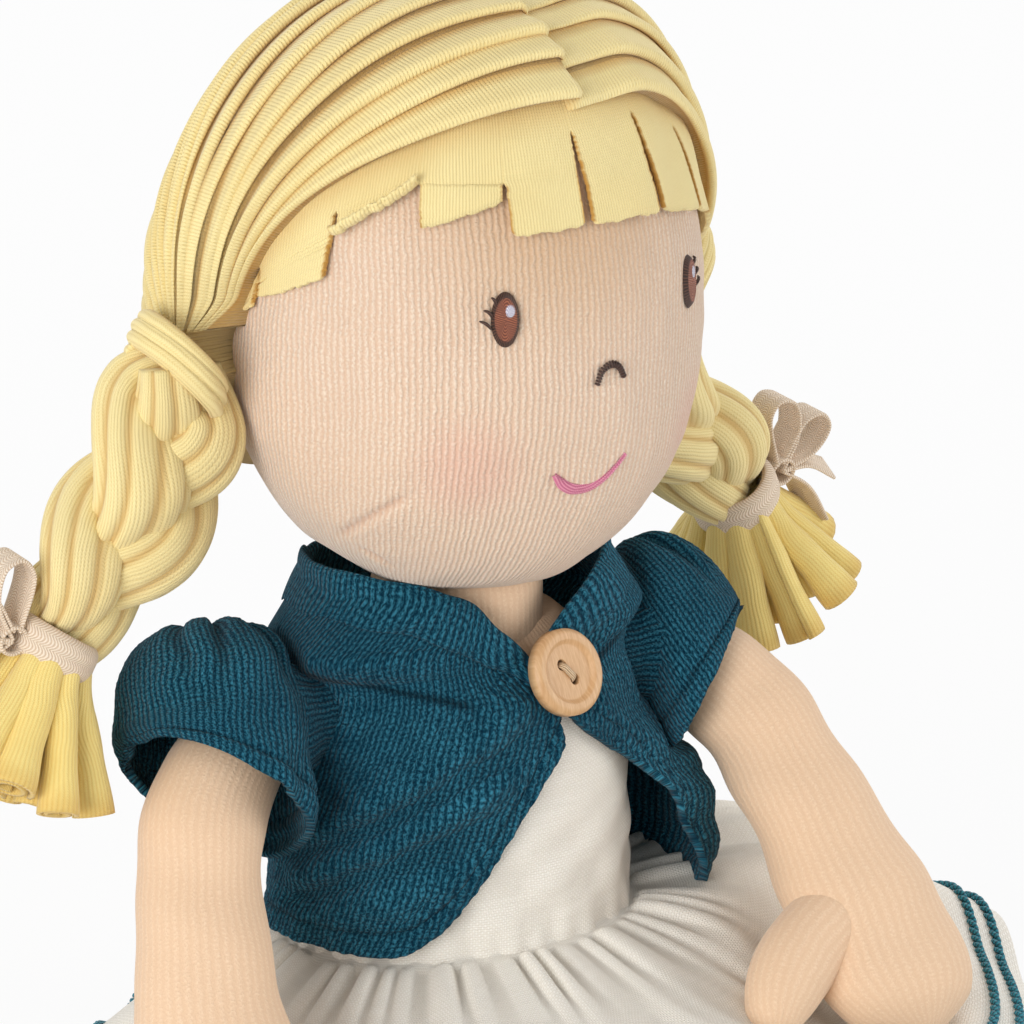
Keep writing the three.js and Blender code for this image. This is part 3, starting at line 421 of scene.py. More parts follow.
def patch(points, u=None, v=None, around=False, ends=(False, False), inside=None, painted_shade=None):
    """Rows and columns of points as faces. u and v are the place map in mm: u has one more
    column where the columns close. An end is closed by a fan, or by "lips" that join the
    first half of its row to the second. Faces turn away from inside."""
    rows, columns = points.shape[:2]
    wide = columns + around
    if u is None:
        ring = np.linalg.norm(np.diff(points, axis=1, append=points[:, :1]), axis=-1)
        u = np.r_[0, np.cumsum(ring.mean(0))][:wide]
    if v is None:
        v = travel(points)[:, None]
    if around and np.shape(v)[-1] == columns:
        v = np.c_[v, v[:, :1]]
    place = spots(np.broadcast_to(u, (rows, wide)), np.broadcast_to(v, (rows, wide)))
    index = np.arange(rows * columns).reshape(rows, columns)
    if around:
        index = np.c_[index, index[:, :1]]
    corner = [(slice(None, -1), slice(None, -1)), (slice(None, -1), slice(1, None)),
              (slice(1, None), slice(1, None)), (slice(1, None), slice(None, -1))]
    faces = [np.stack([index[c] for c in corner], -1).reshape(-1, 4)]
    maps = [np.stack([place[c] for c in corner], -2).reshape(-1, 4, 2)]
    spread = [points.reshape(-1, 3)]
    # painted shade per point, none where it is not given
    shade = [np.broadcast_to(0.0 if painted_shade is None else painted_shade, (rows, columns)).ravel()]
    total = rows * columns
    for row, wanted in ((0, ends[0]), (rows - 1, ends[1])):
        if not wanted:
            continue
        ring, at = index[row], place[row]
        if wanted == "lips":
            half = columns // 2
            one, two = np.arange(half - 1), columns - 1 - np.arange(half - 1)
            lip = np.stack([one + 1, one, two, two - 1], -1)
            if row:
                lip = lip[:, ::-1]
            faces[0] = np.concatenate([faces[0], ring[lip]])
            maps[0] = np.concatenate([maps[0], at[lip]])
            continue
        pair = np.stack([ring[1:], ring[:-1], np.full(len(ring) - 1, total)], -1)
        middle = (at[1:] + at[:-1]) / 2
        corners = np.stack([at[1:], at[:-1], middle], 1)
        faces.append(pair if row == 0 else pair[:, [1, 0, 2]])
        maps.append(corners if row == 0 else corners[:, [1, 0, 2]])
        spread.append(points[row].mean(0)[None])
        shade.append(shade[0].reshape(rows, columns)[row].mean()[None])
        total += 1
    spread = np.concatenate(spread)
    middle = spread.mean(0) if inside is None else np.array(inside, float)
    a, b, c = (spread[faces[0][:, k]] for k in (0, 1, 2))
    outward = (np.cross(b - a, c - a) * (a - middle)).sum()
    if outward < 0:
        faces = [f[:, ::-1] for f in faces]
        maps = [m[:, ::-1] for m in maps]
    return {"points": spread, "faces": faces, "maps": maps, "painted_shade": np.concatenate(shade)}


def flat_map(x, y):
    """Place map of a round piece taken from above: the corners of each face of its grid."""
    at = spots(x, y)
    at = np.concatenate([at, at[:, :1]], 1)
    return np.stack([at[:-1, :-1], at[:-1, 1:], at[1:, 1:], at[1:, :-1]], -2).reshape(-1, 4, 2)


def tube(path, radius, sides=8, axis=(0.3, 0.5, 0.81), closed=True):
    """Round cord along a path: radius x (cos, sin) carried along it."""
    turns = np.linspace(0, TURN, sides, endpoint=False)
    radius = np.broadcast_to(np.asarray(radius, float), (len(path),))[:, None]
    return patch(carried(path, axis, radius * np.cos(turns), radius * np.sin(turns)),
                 around=True, ends=(closed, closed))


def piece(name, patches, finish, body, node=(), wall=0.0, smooth=0, side=0.0):
    """One object from patches, in metres: rides on a body, replaces nodes, takes a wall
    (in mm; side -1 inwards to 1 outwards) and rounds of subdivision."""
    mesh = bpy.data.meshes.new(name)
    shifts = np.cumsum([0] + [len(p["points"]) for p in patches])[:-1]
    points = np.concatenate([p["points"] for p in patches]) / 1000
    lists = [f + s for p, s in zip(patches, shifts) for f in p["faces"]]
    corners = np.concatenate([f.ravel() for f in lists])
    sizes = np.concatenate([np.full(len(f), f.shape[1]) for f in lists])
    maps = np.concatenate([m.reshape(-1, 2) for p in patches for m in p["maps"]])
    mesh.vertices.add(len(points))
    mesh.vertices.foreach_set("co", points.ravel().astype(np.float32))
    mesh.loops.add(len(corners))
    mesh.loops.foreach_set("vertex_index", corners.astype(np.int32))
    mesh.polygons.add(len(sizes))
    starts = np.r_[0, np.cumsum(sizes)[:-1]]
    mesh.polygons.foreach_set("loop_start", starts.astype(np.int32))
    mesh.polygons.foreach_set("use_smooth", np.ones(len(sizes), bool))
    mesh.update(calc_edges=True)
    layer = mesh.uv_layers.new(name="place")
    layer.data.foreach_set("uv", maps.ravel().astype(np.float32))
    # painted shade is stored as a point attribute for the finishes to read
    painted_shade = mesh.attributes.new("painted_shade", "FLOAT", "POINT")
    painted_shade.data.foreach_set("value", np.concatenate(
        [p["painted_shade"] for p in patches]).astype(np.float32))
    mesh.materials.append(finish)
    made = bpy.data.objects.new(name, mesh)
    scene.collection.objects.link(made)
    if wall:
        solid = made.modifiers.new("wall", "SOLIDIFY")
        solid.thickness, solid.offset = wall / 1000, side
    if smooth:
        rounds = made.modifiers.new("round", "SUBSURF")
        rounds.levels = rounds.render_levels = smooth
    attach(made, body)
    if node:
        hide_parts(*([node] if isinstance(node, str) else node))
    return made


# Torso and neck

gap, linen_cloth, velour_cloth = 0.4, 1.2, 2.0
torso_height, torso_wide, torso_deep, waist = 106, 38.5, 29.5, 42
torso_shares = [[0, .74, .70], [.04, .88, .86], [.12, .98, .97], [.25, 1, 1], [.40, .94, .92],
                [.60, .93, .89], [.80, .92, .83], [.92, .80, .71], [1, .56, .54]]


def on_torso(turn, height, lift):
    """Body's surface at an angle from the front: width share x sine, depth share x cosine,
    moved out along its normal by lift."""
    def base(turn, height):
        share = height / torso_height
        return spots(torso_wide * share_at(torso_shares, 1, share) * np.sin(turn),
                     -torso_deep * share_at(torso_shares, 2, share) * np.cos(turn), height)
    turn, height, lift = np.broadcast_arrays(turn, height, lift)
    small, step = 1e-3, 0.106
    round_ = base(turn + small, height) - base(turn - small, height)
    rise = (base(turn, np.minimum(height + step, torso_height))
            - base(turn, np.maximum(height - step, 0)))
    return base(turn, height) + unit(np.cross(round_, rise)) * lift[..., None]


def around(columns, closed=True):
    """Angles once round, in radians, as one row."""
    return np.linspace(0, TURN, columns, endpoint=not closed)[None]


def body():
    height = torso_height * np.linspace(0, 1, 60)[:, None]
    turn = around(110)
    points = on_torso(turn, height, 0)
    lift = 0.5 * lumps(points, 26, 4) * ease(height, 4, 16) * ease(torso_height - height, 0, 8)
    points = on_torso(turn, height, lift - 0.3)
    return patch(points, u=np.linspace(0, TURN, 111) * 33, around=True, ends=(True, True))


piece("torso_velour", [body()], skin_arm, "torso", "torso")


neck_radius, neck_root, neck_top, neck_dome = 17.2, 102, 112, 15


def neck():
    """Straight stub from the root to the top, closed by a quarter ellipse in the head."""
    up = np.linspace(0, 1, 30)[:, None]
    straight = 0.3
    turn = around(64)
    rise = np.clip((up - straight) / (1 - straight), 0, 1) * TURN / 4
    radius = neck_radius * np.cos(rise) + 0.02
    height = np.where(up < straight, mix(neck_root, neck_top, up / straight),
                      neck_top + neck_dome * np.sin(rise))
    points = spots(radius * np.sin(turn), -radius * np.cos(turn), height)
    return patch(points, u=np.linspace(0, TURN, 65) * 17, around=True, ends=(True, True))


piece("neck_velour", [neck()], skin_arm, "neck", "neck")


# Head

head_wide, head_rise, head_drop, fullness = 47, 62, 56, 2.35
head_frame = frame_at((0, -3, 171), (0, 0, 7))


def rise_at(height):
    return np.where(np.asarray(height) > 0, head_rise, head_drop)


def on_head(direction, lift=0.0):
    """Along a direction: ((across/47)^2.35 + (up/62 or 56)^2.35)^(-1/2.35), plus lift."""
    d = unit(direction)
    reach = ((np.hypot(d[..., 0], d[..., 1]) / head_wide) ** fullness
             + (np.abs(d[..., 2]) / rise_at(d[..., 2])) ** fullness) ** (-1 / fullness)
    return d * (reach + lift)[..., None]


def on_head_at(place, height, lift=0.0):
    """The same at degrees round the head from the face and at a height."""
    place, height, lift = np.broadcast_arrays(*(np.asarray(k, float)
                                                for k in (place, height, lift)))
    share = (np.abs(height) / rise_at(height)) ** fullness
    radius = head_wide * np.maximum(1 - share, 1e-9) ** (1 / fullness)
    turn = np.radians(place)
    return on_head(spots(radius * np.sin(turn), -radius * np.cos(turn), height), lift)


def groove(x, y, start, end, width):
    """How near a point is to a line from start to end: bell across, faded at both ends."""
    start, end = np.array(start, float), np.array(end, float)
    length = np.hypot(*(end - start))
    way = (end - start) / length
    along = (x - start[0]) * way[0] + (y - start[1]) * way[1]
    away = (x - start[0]) * way[1] - (y - start[1]) * way[0]
    fade = ease(along, -2.5, 2) * (1 - ease(along, length - 3, length + 2.5))
    return bell(away, width) * fade


darts = (((-62, -37), (-44, -27)), ((-58.5, -40.5), (-53, -44)))


def head_skin(columns=420, rows=300):
    """Full ball with two darts in each cheek, lines given as mm round the head and mm up,
    the soft swelling of its stuffing, and a fuller temple at the doll's right."""
    turn = np.linspace(-np.pi, np.pi, columns, endpoint=False)[None]
    tilt = np.linspace(-TURN / 4 + 0.012, TURN / 4 - 0.012, rows)[:, None]
    way = spots(np.cos(tilt) * np.sin(turn), -np.cos(tilt) * np.cos(turn), np.sin(tilt))
    flat = on_head(way)
    arc, height = turn * head_wide, flat[..., 2]
    pull, painted_shade = 0.0, 0.0
    for side in (-1, 1):
        for start, end in darts:
            line = [(-side * start[0], start[1]), (-side * end[0], end[1])]
            pull = pull + 0.9 * groove(arc, height, *line, 1.0)
            pull = pull - 0.5 * groove(arc, height, *line, 4.5)
            # painted shade along the dart lines
            painted_shade = painted_shade + 0.36 * groove(arc, height, *line, 0.7)
    lift = 0.35 * lumps(flat, 30, 2) + 0.12 * lumps(flat, 9, 3) - pull - 0.1
    lift = lift + 2.4 * bell((turn + 1.62) / 0.55, 1) * bell(height + 16, 22)
    wide = mix(head_wide, np.hypot(flat[..., 0], flat[..., 1]).mean(1)[:, None], 0.5)
    u = np.linspace(-np.pi, np.pi, columns + 1)[None] * wide
    return patch(within([head_frame], on_head(way, lift)), u=u, around=True,
                 ends=(True, True), painted_shade=np.clip(painted_shade, 0, 0.85))


def spot_on_head(place, height, lift=0.0):
    return within([head_frame], on_head_at(place, height, lift))


# A blush is its place, its radius, its colour and its strength: two cheeks, then a painted
# shadow of warmer, darker skin where the fringe shades the forehead
blush_and_fringe_shadow = [(tuple(spot_on_head(side * 37.7, -21)), 15, srgb(232, 158, 144), 0.26)
           for side in (-1, 1)]
blush_and_fringe_shadow.append((tuple(spot_on_head(-14, 30)), 38, srgb(206, 166, 122), 0.55))
skin_face = ribbed_velour(
    "peach_velour_face", srgb(255, 238, 218), srgb(224, 190, 162), srgb(196, 146, 118),
    pitch=1.3, rise=0.28, tufts=0.45, wales=0.6, fuzz=1.6, sheen=0.5, blush_and_fringe_shadow=blush_and_fringe_shadow)
piece("head_velour", [head_skin()], skin_face, "head", "head")


# Face

eye_places, eye_height = {-1: -29.5, 1: 28}, 8.7
eye_wide, eye_tall = 2.75, 5.3


def eye(place):
    """Oval patch of stitches: a dome over an ellipse, its rim pressed to the skin."""
    reach = np.linspace(0.02, 1, 22)[:, None]
    turn = around(72)
    x, y = eye_wide * reach * np.cos(turn), eye_tall * reach * np.sin(turn)
    lift = 0.95 * (1 - reach ** 5) + 0.25 * bell(reach - 0.8, 0.13) + 0.02
    points = spot_on_head(place + np.degrees(x / head_wide), eye_height + y, lift)
    made = patch(points, around=True, ends=(True, False), inside=within(
        [head_frame], np.zeros(3)))
    ring = np.concatenate([spots(x, y)[0], spots(x, y)[0, :1]])
    maps = [flat_map(x, y), np.stack([ring[1:], ring[:-1], 0 * ring[1:]], 1)]
    first = made["maps"][0][0]
    turned_round = abs(first[0, 0] - first[1, 0]) < 1e-9
    made["maps"] = [m[:, ::-1] for m in maps] if turned_round else maps
    return made


lash_ends = ((2.0, 11.2, 3.2, 13.0), (2.8, 9.1, 5.0, 10.6), (3.1, 6.9, 6.0, 8.6))


def stitch(places, radius, steps=14):
    """A thread over the skin through places in degrees and mm, thin at both ends."""
    path = through(spot_on_head(*np.array(places, float).T), steps)
    share = np.linspace(0, 1, steps)
    return tube(path, radius * (0.35 + 0.65 * np.sin(np.pi * share) ** 0.5), 7)


for side, name in SIDES:
    finish = eye_thread(f"eye_thread_{name}", eye_wide, eye_tall)
    piece(f"eye_stitches_{name}", [eye(eye_places[side])], finish, "head", f"eye_{name}")
    lashes = []
    for a, low, b, high in lash_ends:
        near, far = eye_places[side] + side * a, eye_places[side] + side * b
        lashes.append(stitch([(near, low, 0.3), ((near + far) / 2, (low + high) / 2 + 0.4, 0.9),
                              (far, high, 0.4)], 0.34))
    piece(f"lashes_{name}", lashes, brown_thread, "head")


def row_of_stitches(line, halves, count, radius, lean=0.0, lift=0.5):
    """Short stitches across a line on the head: each a small cord square to the line,
    its half length taken from halves along it."""
    path = through(line, count)
    half = np.interp(np.linspace(0, 1, count), *zip(*halves))
    way = unit(np.gradient(path, axis=0))
    across = np.stack([-way[:, 1], way[:, 0]], -1)
    share = np.linspace(-1, 1, 7)[:, None]
    cords = []
    for spot, side_way, reach in zip(path, across, half):
        x = spot[0] + share[:, 0] * reach * (side_way[0] + lean)
        y = spot[1] + share[:, 0] * reach * side_way[1]
        arch = lift * (1 - share[:, 0] ** 4) + 0.08
        cords.append(tube(spot_on_head(np.degrees(x / head_wide), y, arch), radius, 6))
    return cords


def arc_of(places):
    return [(np.radians(place) * head_wide, height) for place, height in places]


nose = row_of_stitches(arc_of([(-6.7, -5.6), (-5.4, -3.2), (-2.8, -2.2), (-0.6, -3.0),
                               (0.9, -5.0)]), [(0, .4), (.5, .6), (1, .4)], 17, 0.26)
piece("nose_stitches", nose, brown_thread, "head", "nose")
mouth = row_of_stitches(arc_of([(-16.4, -23.2), (-13.5, -25.6), (-10.2, -26.8), (-5.5, -26.9),
                                (-1.7, -25.6), (1.6, -23.4), (3.8, -21.4)]),
                        [(0, .3), (.12, .8), (.3, 1.0), (.6, .65), (1, .25)], 38, 0.25, 0.25)
piece("mouth_stitches", mouth, pink_thread, "head", "mouth")


# Hair

tie_reach, tie_drop, tie_place = 62, 4, 100
part_front, part_back = 51.5, 226
seam_bows = {-1: 7, 1: -11}


def tie_seat(side):
    turn = np.radians(side * tie_place)
    return np.array([tie_reach * np.sin(turn), -tie_reach * np.cos(turn), -tie_drop])


def hair_way(side, u, v):
    """Direction from the head's middle: a quarter turn from the parting to the tie; the front
    edge bows up on the doll's right and down on its left, the back edge down."""
    u, v = np.broadcast_arrays(u, v)
    over = np.radians(mix(part_front, part_back, u))
    start = spots(0, -np.cos(over), np.sin(over))
    end = unit(tie_seat(side))
    across = unit(np.cross(start, end) * side)
    push = np.radians(np.where(u < 0.5, seam_bows[side], 6) * np.abs(2 * u - 1) ** 3)
    quarter = np.pi / 2 * v
    return unit(start * np.cos(quarter)[..., None] + end * np.sin(quarter)[..., None]
                + across * (push * np.sin(np.pi * v * np.abs(v)))[..., None])


def hair_lift(u, v):
    """Height of the strips over the head: 5.4 mm, and up to 9.4 more towards the tie, less
    at the front and back edges."""
    front = mix(mix(0.05, 1, ease(v, 0.86, 1)), 1, ease(u, 0, 0.3))
    back = 1 - 0.75 * ease(u, 0.78, 1) * (1 - ease(v, 0.8, 1))
    return (5.4 - 1.6 * bell(u, 0.05) * ease(v, 0.1, 0.4)
            + 9.4 * ease(v, 0.08, 0.8) * front * back)


def hair_folds(side, strips=27, samples=14, rows=150):
    """Overlapping strips as one pleated cloth. Across each strip the line goes up round its
    front fold, a half circle, and slopes down to slide under the next one. Strips begin at
    the parting and bunch at the tie, where every other one sinks between its neighbours."""
    rng = np.random.default_rng(7 + side)
    number = np.repeat(np.arange(strips), samples)
    t = np.tile(np.arange(samples) / samples, strips)
    roll_end = 0.4
    angle = np.clip(t / roll_end, 0, 1) * np.pi - np.pi / 2
    slope = np.clip((t - roll_end) / (1 - roll_end), 0, 1)
    tall = np.where(t < roll_end, 0.5 + 0.5 * np.sin(angle), (1 - slope) ** 1.25)
    over = np.where(t < roll_end, -0.8 * np.cos(angle), 0)
    widths = rng.uniform(0.72, 1.28, strips)
    bounds = np.r_[0, np.cumsum(widths)] / widths.sum()
    r = np.linspace(0, 1, rows)[:, None]
    begin = (0.024 if side < 0 else -0.06) + rng.uniform(-0.003, 0.003, strips)[number]
    v = mix(begin, 0.94, r ** 1.05)
    ends = ease(v, begin - 0.004, begin + 0.02) ** 0.5
    pitch = 6.0 * np.cos(np.pi / 2 * np.clip(v, 0, 1)) + 0.9
    sunk = (number % 2 == 1) * (1 - (number == 1))
    strength = rng.uniform(0.75, 1.2, strips)[number] * (1 - 0.85 * sunk * ease(v, 0.42, 0.78))
    under = (side > 0) * (1 - ease(v, 0.02, 0.14))
    depth = np.minimum(2.5, 0.8 * pitch) * strength * (1 - 0.5 * under)
    x = slope + over * depth / 2 / pitch * ends
    wander = 0.0035 * np.sin(v * 5 + number * 1.7) * (number > 0)
    u = np.interp(number + x, np.arange(strips + 1), bounds) + wander
    u = np.clip(u + np.where((number == 0) & (t < roll_end), 0.01 * over * ends, 0), -0.02, 1)
    lift = hair_lift(u, v) + depth * (tall - 0.55) + 0.4 - 2.5 * under
    lift = lift - 2.6 * (1 - ends) + 0.14 * lumps(spots(u * 60, v * 30, tall), 9, 3)
    lift = np.maximum(lift, 1.3 - 0.3 * under)
    outer = on_head(hair_way(side, u, v), lift)
    inner_u = np.linspace(0.004, 0.996, len(number))[None] + 0 * v
    inner_v = np.clip(v, -0.055 if side > 0 else 0.03, 1)
    inner = on_head(hair_way(side, inner_u, inner_v), 0.8 - 0.4 * under)
    loop = np.concatenate([outer, inner[:, ::-1]], 1)
    across = number * 20 + (x - 0.5) * pitch
    across = np.concatenate([across, across[:, ::-1], across[:, :1]], 1)
    along = np.concatenate([v, v[:, ::-1], v[:, :1]], 1) * 96
    # painted shade: dark in the valleys between strips, a painted shadow at the parting end of the
    # doll's left strips, and an even 0.3 on the inner wall
    valley = np.clip(1 - tall * 2.6, 0, 1) * np.clip(depth / 1.3, 0, 1)
    shade = np.concatenate([0.85 * valley + 0.35 * bell(v - begin, 0.02) * (side > 0),
                            np.ones_like(valley) * 0.3], 1)
    return patch(within([head_frame], loop), u=along, v=across, around=True,
                 ends=("lips", "lips"), painted_shade=shade)


for side, name in SIDES:
    piece(f"hair_strips_{name}", [hair_folds(side)], hair_knit, "head", f"hair_{name}")


# Fringe

flaps = [(-116, -93, -2.0, 6.4), (-93, -70.5, 8.0, 14.8), (-70.5, -50, 19.6, 29.6),
         (-50, -29, 24.8, 29.4), (-29, -8.5, 23.4, 24.4), (-8.5, 14.5, 24.4, 24.0),
         (14.5, 34.5, 24.0, 21.0), (34.5, 56.5, 21.0, 16.7), (56.5, 70.5, 15.5, 6.2),
         (70.5, 88, 3.1, -3.7)]
curls = [0.0, 0.3, 4.6, 0.9, 0.5, 0.4, 0.6, 0.5, 0.4, 0.3]
slit_tops = [8, 14, 27, 33, 33, 41, 42, 37, 22, 8, -8]


def seam_line():
    rows = []
    for side in (-1, 1):
        seat = on_head(hair_way(side, 0.0, np.linspace(0, 0.94, 60)), np.zeros(60))
        rows.append(np.c_[np.degrees(np.arctan2(seat[:, 0], -seat[:, 1])), seat[:, 2]])
    rows = np.concatenate(rows)
    return rows[np.argsort(rows[:, 0])]


seam = seam_line()


def flap(place, curl, seed, slits):
    """Flat strip of jersey from under the hair to its cut edge; its last part rolls outwards
    round a small circle. Its sides part from the neighbours' below the slits' tops, and its
    cut edges are uneven."""
    start, end, low_start, low_end = place
    rng = np.random.default_rng(seed)
    columns, rows = 60, 76
    across = np.linspace(0, 1, columns)[None]
    down = np.linspace(0, 1, rows)[:, None]
    rough = np.convolve(rng.normal(size=columns + 4), [0.25, 0.5, 1, 0.5, 0.25], "valid") * 0.13
    corner = 0.5 * (bell(across, 0.04) + bell(1 - across, 0.04))
    low = mix(low_start, low_end, across) + rough[None] + corner
    flat = mix(start, end, across)
    top = np.maximum(np.interp(flat, seam[:, 0], seam[:, 1]) + 2.5, low + 4)
    length = top - low
    run = down * length
    rolled = np.maximum(run - (length - curl), 0)
    radius = 1.9
    angle = rolled / radius
    height = top - (run - rolled) - radius * np.sin(angle)
    ragged = rng.normal(size=(2, rows, 1)) * 0.1
    parted = [ease(slit - height, -0.4, 0.8) * (0.64 + 0.5 * ease(slit - height, 0, 12) + rag)
              - 0.3 for slit, rag in zip(slits, ragged)]
    at = flat + parted[0] * (1 - across) ** 3 - parted[1] * across ** 3
    at = at + (flat - (start + end) / 2) * -0.02 * down
    spread = lumps(spots(flat * 0.8, height, 0), 15, 31)
    lift = (1.2 + 0.06 * (seed % 2) + radius * (1 - np.cos(angle)) + 0.3 * spread
            + (0.5 + 0.35 * rng.uniform(-1, 1)) * ease(parted[0] + parted[1], 0.1, 0.5)
            * ease(down, 0.3, 1))
    points = on_head_at(at, height, np.maximum(lift, 0.75))
    # painted shade along the slits' edges, and a painted shadow near the top where the flap goes
    # under the hair
    edge = (np.maximum(parted[0], 0) * bell(across, 0.025)
            + np.maximum(parted[1], 0) * bell(1 - across, 0.025)) * 1.6
    return patch(within([head_frame], points), u=flat * 0.82, v=-height + rolled,
                 inside=within([head_frame], np.array([0, 0, head_rise * 0.3])),
                 painted_shade=np.clip(edge + 0.3 * bell(run - 2, 4), 0, 0.9))


slits = zip(slit_tops, slit_tops[1:])
cloth = piece("fringe_flaps", [flap(p, c, 30 + i, slit)
                               for i, (p, c, slit) in enumerate(zip(flaps, curls, slits))],
              hair_knit, "head", "fringe", wall=1.0, smooth=1)


# Plaits, made hanging along -z from the tie

plait_length, tape_radius, tape_tall = 60, 8.6, 8
plait_shares = [[0, .72], [.18, 1], [.65, 1], [1, .62]]


plait_spreads = {-1: 25, 1: 22}       # degrees that a plait hangs away from straight down
plait_bends = {-1: (2.6, 1.6, 0), 1: (13, 4.2, 4.5)}     # mm drawn in, swung out and lower


def hanging(side):
    return [head_frame, frame_at(tie_seat(side), (8, -side * plait_spreads[side], 0))]


def hung(side, points):
    """A plait bent like a hanging one: in towards the head below the tie, out at its end."""
    share = np.clip(-points[..., 2] / plait_length, 0, 1.5)
    drawn, out, drop = plait_bends[side]
    x = -drawn * bell(share - 0.36, 0.25) * ease(share, 0, 0.12) + out * np.minimum(share, 1) ** 2
    return within(hanging(side), points + spots(x, 0 * x, -drop * np.minimum(share, 1)), side)


def strand(index, side, pitch=66, half_wide=9.3, half_deep=6.0):
    """Bundle of jersey rolls: x = 7.5 sin t, y = 4.4 sin 2t along the plait, bowed 4 mm in
    towards the head, its section a full oval with a lobe for each roll."""
    rows, sides = 130, 72
    share = np.linspace(0, 1, rows)
    height = mix(-1.0, -plait_length + 1.0, share)
    t = TURN * (-height / pitch + index / 3)
    full = share_at(plait_shares, 1, share)
    path = np.stack([7.5 * full * np.sin(t) - 4 * np.sin(np.pi * share),
                     4.4 * full * np.sin(2 * t), height], -1)
    turn = around(sides)
    phase = turn * 4 + (0.9 * np.sin(share * 8 + index) + index)[:, None]
    lobe = np.abs(np.cos(phase)) ** 6
    body = 1 - 0.13 * lobe
    wide = half_wide * full[:, None] * np.sign(np.cos(turn)) * np.abs(np.cos(turn)) ** 0.85
    deep = half_deep * full[:, None] * np.sign(np.sin(turn)) * np.abs(np.sin(turn)) ** 0.85
    points = carried(path, (0, 1, 0), wide * body, deep * body)
    # painted shade in the grooves between the rolls' lobes
    return patch(hung(side, points),
                 u=np.linspace(0, TURN, sides + 1) * 7, around=True, ends=(True, True),
                 painted_shade=0.6 * np.abs(np.cos(phase)) ** 14)


def wound(side, radius, low, high, turns, tall, slant, folds=0.0, seed=1):
    """A strip wound round the plait: radius grows a little each turn, its middle line
    slants, and shallow folds run along it."""
    rows, columns = 26, int(150 * turns)
    angle = np.linspace(0, TURN * turns, columns)[None]
    across = np.linspace(-0.5, 0.5, rows)[:, None]
    reach = (radius + 0.55 * angle / TURN - 1.6 * np.abs(2 * across) ** 4
             + folds * np.sin(across * 19 + 0.6 * np.sin(angle * 2 + seed)))
    height = mix(low, high, angle / (TURN * turns)) + slant * np.sin(angle + seed) + tall * across
    points = spots(reach * np.sin(angle + seed), -reach * np.cos(angle + seed), height)
    # painted shade towards both edges of the strip
    shade = 0.5 * (np.abs(2 * across) ** 10) * np.ones((1, columns))
    middle = np.array([0, 0, (low + high) / 2])
    return strip_map(hung(side, points), across[:, 0] * tall, angle[0] * radius,
                     hung(side, middle), shade)


def strip_map(points, across, along, inside, painted_shade):
    """A sheet whose rows run along it: the place map's u goes over the rows, v along."""
    turned = np.swapaxes(points, 0, 1)
    return patch(turned, u=across, v=along[:, None], inside=inside,
                 painted_shade=np.swapaxes(painted_shade, 0, 1))


def roll(path, turns_in, radius, seed):
    """Rolled jersey: a spiral section, radius x (0.45 to 1) over one and a half turns,
    carried along a path and opening towards its cut end."""
    rows, sides = len(path), 34
    share = np.linspace(0, 1, rows)[:, None]
    wind = np.linspace(0, turns_in * TURN, sides)[None]
    open_ = 1 + 0.3 * ease(share, 0.6, 1)
    reach = radius * mix(1.0, 0.34, wind / wind.max()) * open_ * (0.75 + 0.25 * ease(share, 0, .4))
    turn = wind + seed
    points = carried(path, (0.31, 0.62, 0.71), reach * np.cos(turn), reach * np.sin(turn))
    # the last value is painted shade, growing towards the cut end
    return points, wind[0] * radius * 0.8, travel(points)[:, None], ease(share, 0.8, 1) * 0.35


def tuft(side):
    """Rolls of jersey that spread below the tape: each starts in the bundle, bends outwards
    and ends in a spiral cut end."""
    rng = np.random.default_rng(40 + side)
    top, patches = -plait_length - 1, []
    rings = [(11, 11, 0.0), (6.2, 6, 0.4), (1.2, 2, 0.0)]
    for reach, count, shift in rings:
        for i in range(count):
            angle = TURN * (i + shift) / count + rng.uniform(-0.12, 0.12)
            out = reach * rng.uniform(0.95, 1.08)
            long = rng.uniform(27, 31.5) - 0.35 * reach
            way = np.array([np.cos(angle), np.sin(angle), 0])
            places = [way * reach * 0.62 + [0, 0, top], way * reach * 0.85 + [0, 0, top - 7],
                      way * (out * 1.1 + 1.8) + [0, 0, top - long * 0.6],
                      way * (out * 1.55 + 2.4) + [0, 0, top - long]]
            path = through(places, 26)
            points, u, v, shade = roll(path, 1.9, rng.uniform(3.1, 3.9), rng.uniform(0, 6))
            patches.append(patch(hung(side, points), u=u, v=v,
                                 painted_shade=shade * np.ones((1, len(u))),
                                 inside=hung(side, path.mean(0))))
    return patches


def ribbon(places, width, steps, twist):
    """Flat tape along a curve in the plane of the bow, its width along y."""
    path = through(places, steps)
    along = unit(np.gradient(path, axis=0))
    flat = np.stack([along[:, 2], 0 * along[:, 0], -along[:, 0]], -1)
    angle = np.linspace(0, twist, steps)[:, None]
    across = np.array([0, 1.0, 0]) * np.cos(angle) + flat * np.sin(angle)
    share = np.linspace(-0.5, 0.5, 9)
    points = path[:, None] + across[:, None] * (share[:, None] * width)
    return points, share * width, travel(points)[:, None]


tape_wide, knot_wide = 7.2, 7.6
bow_loop = [[0, 0], [3.5, 8.5], [2.4, 15.5], [-1.6, 16.6], [-4.2, 11.9], [-1.4, 1.2]]


def tail(long):
    return [[0, 0], [2.4, -0.45 * long], [1.0, -long]]


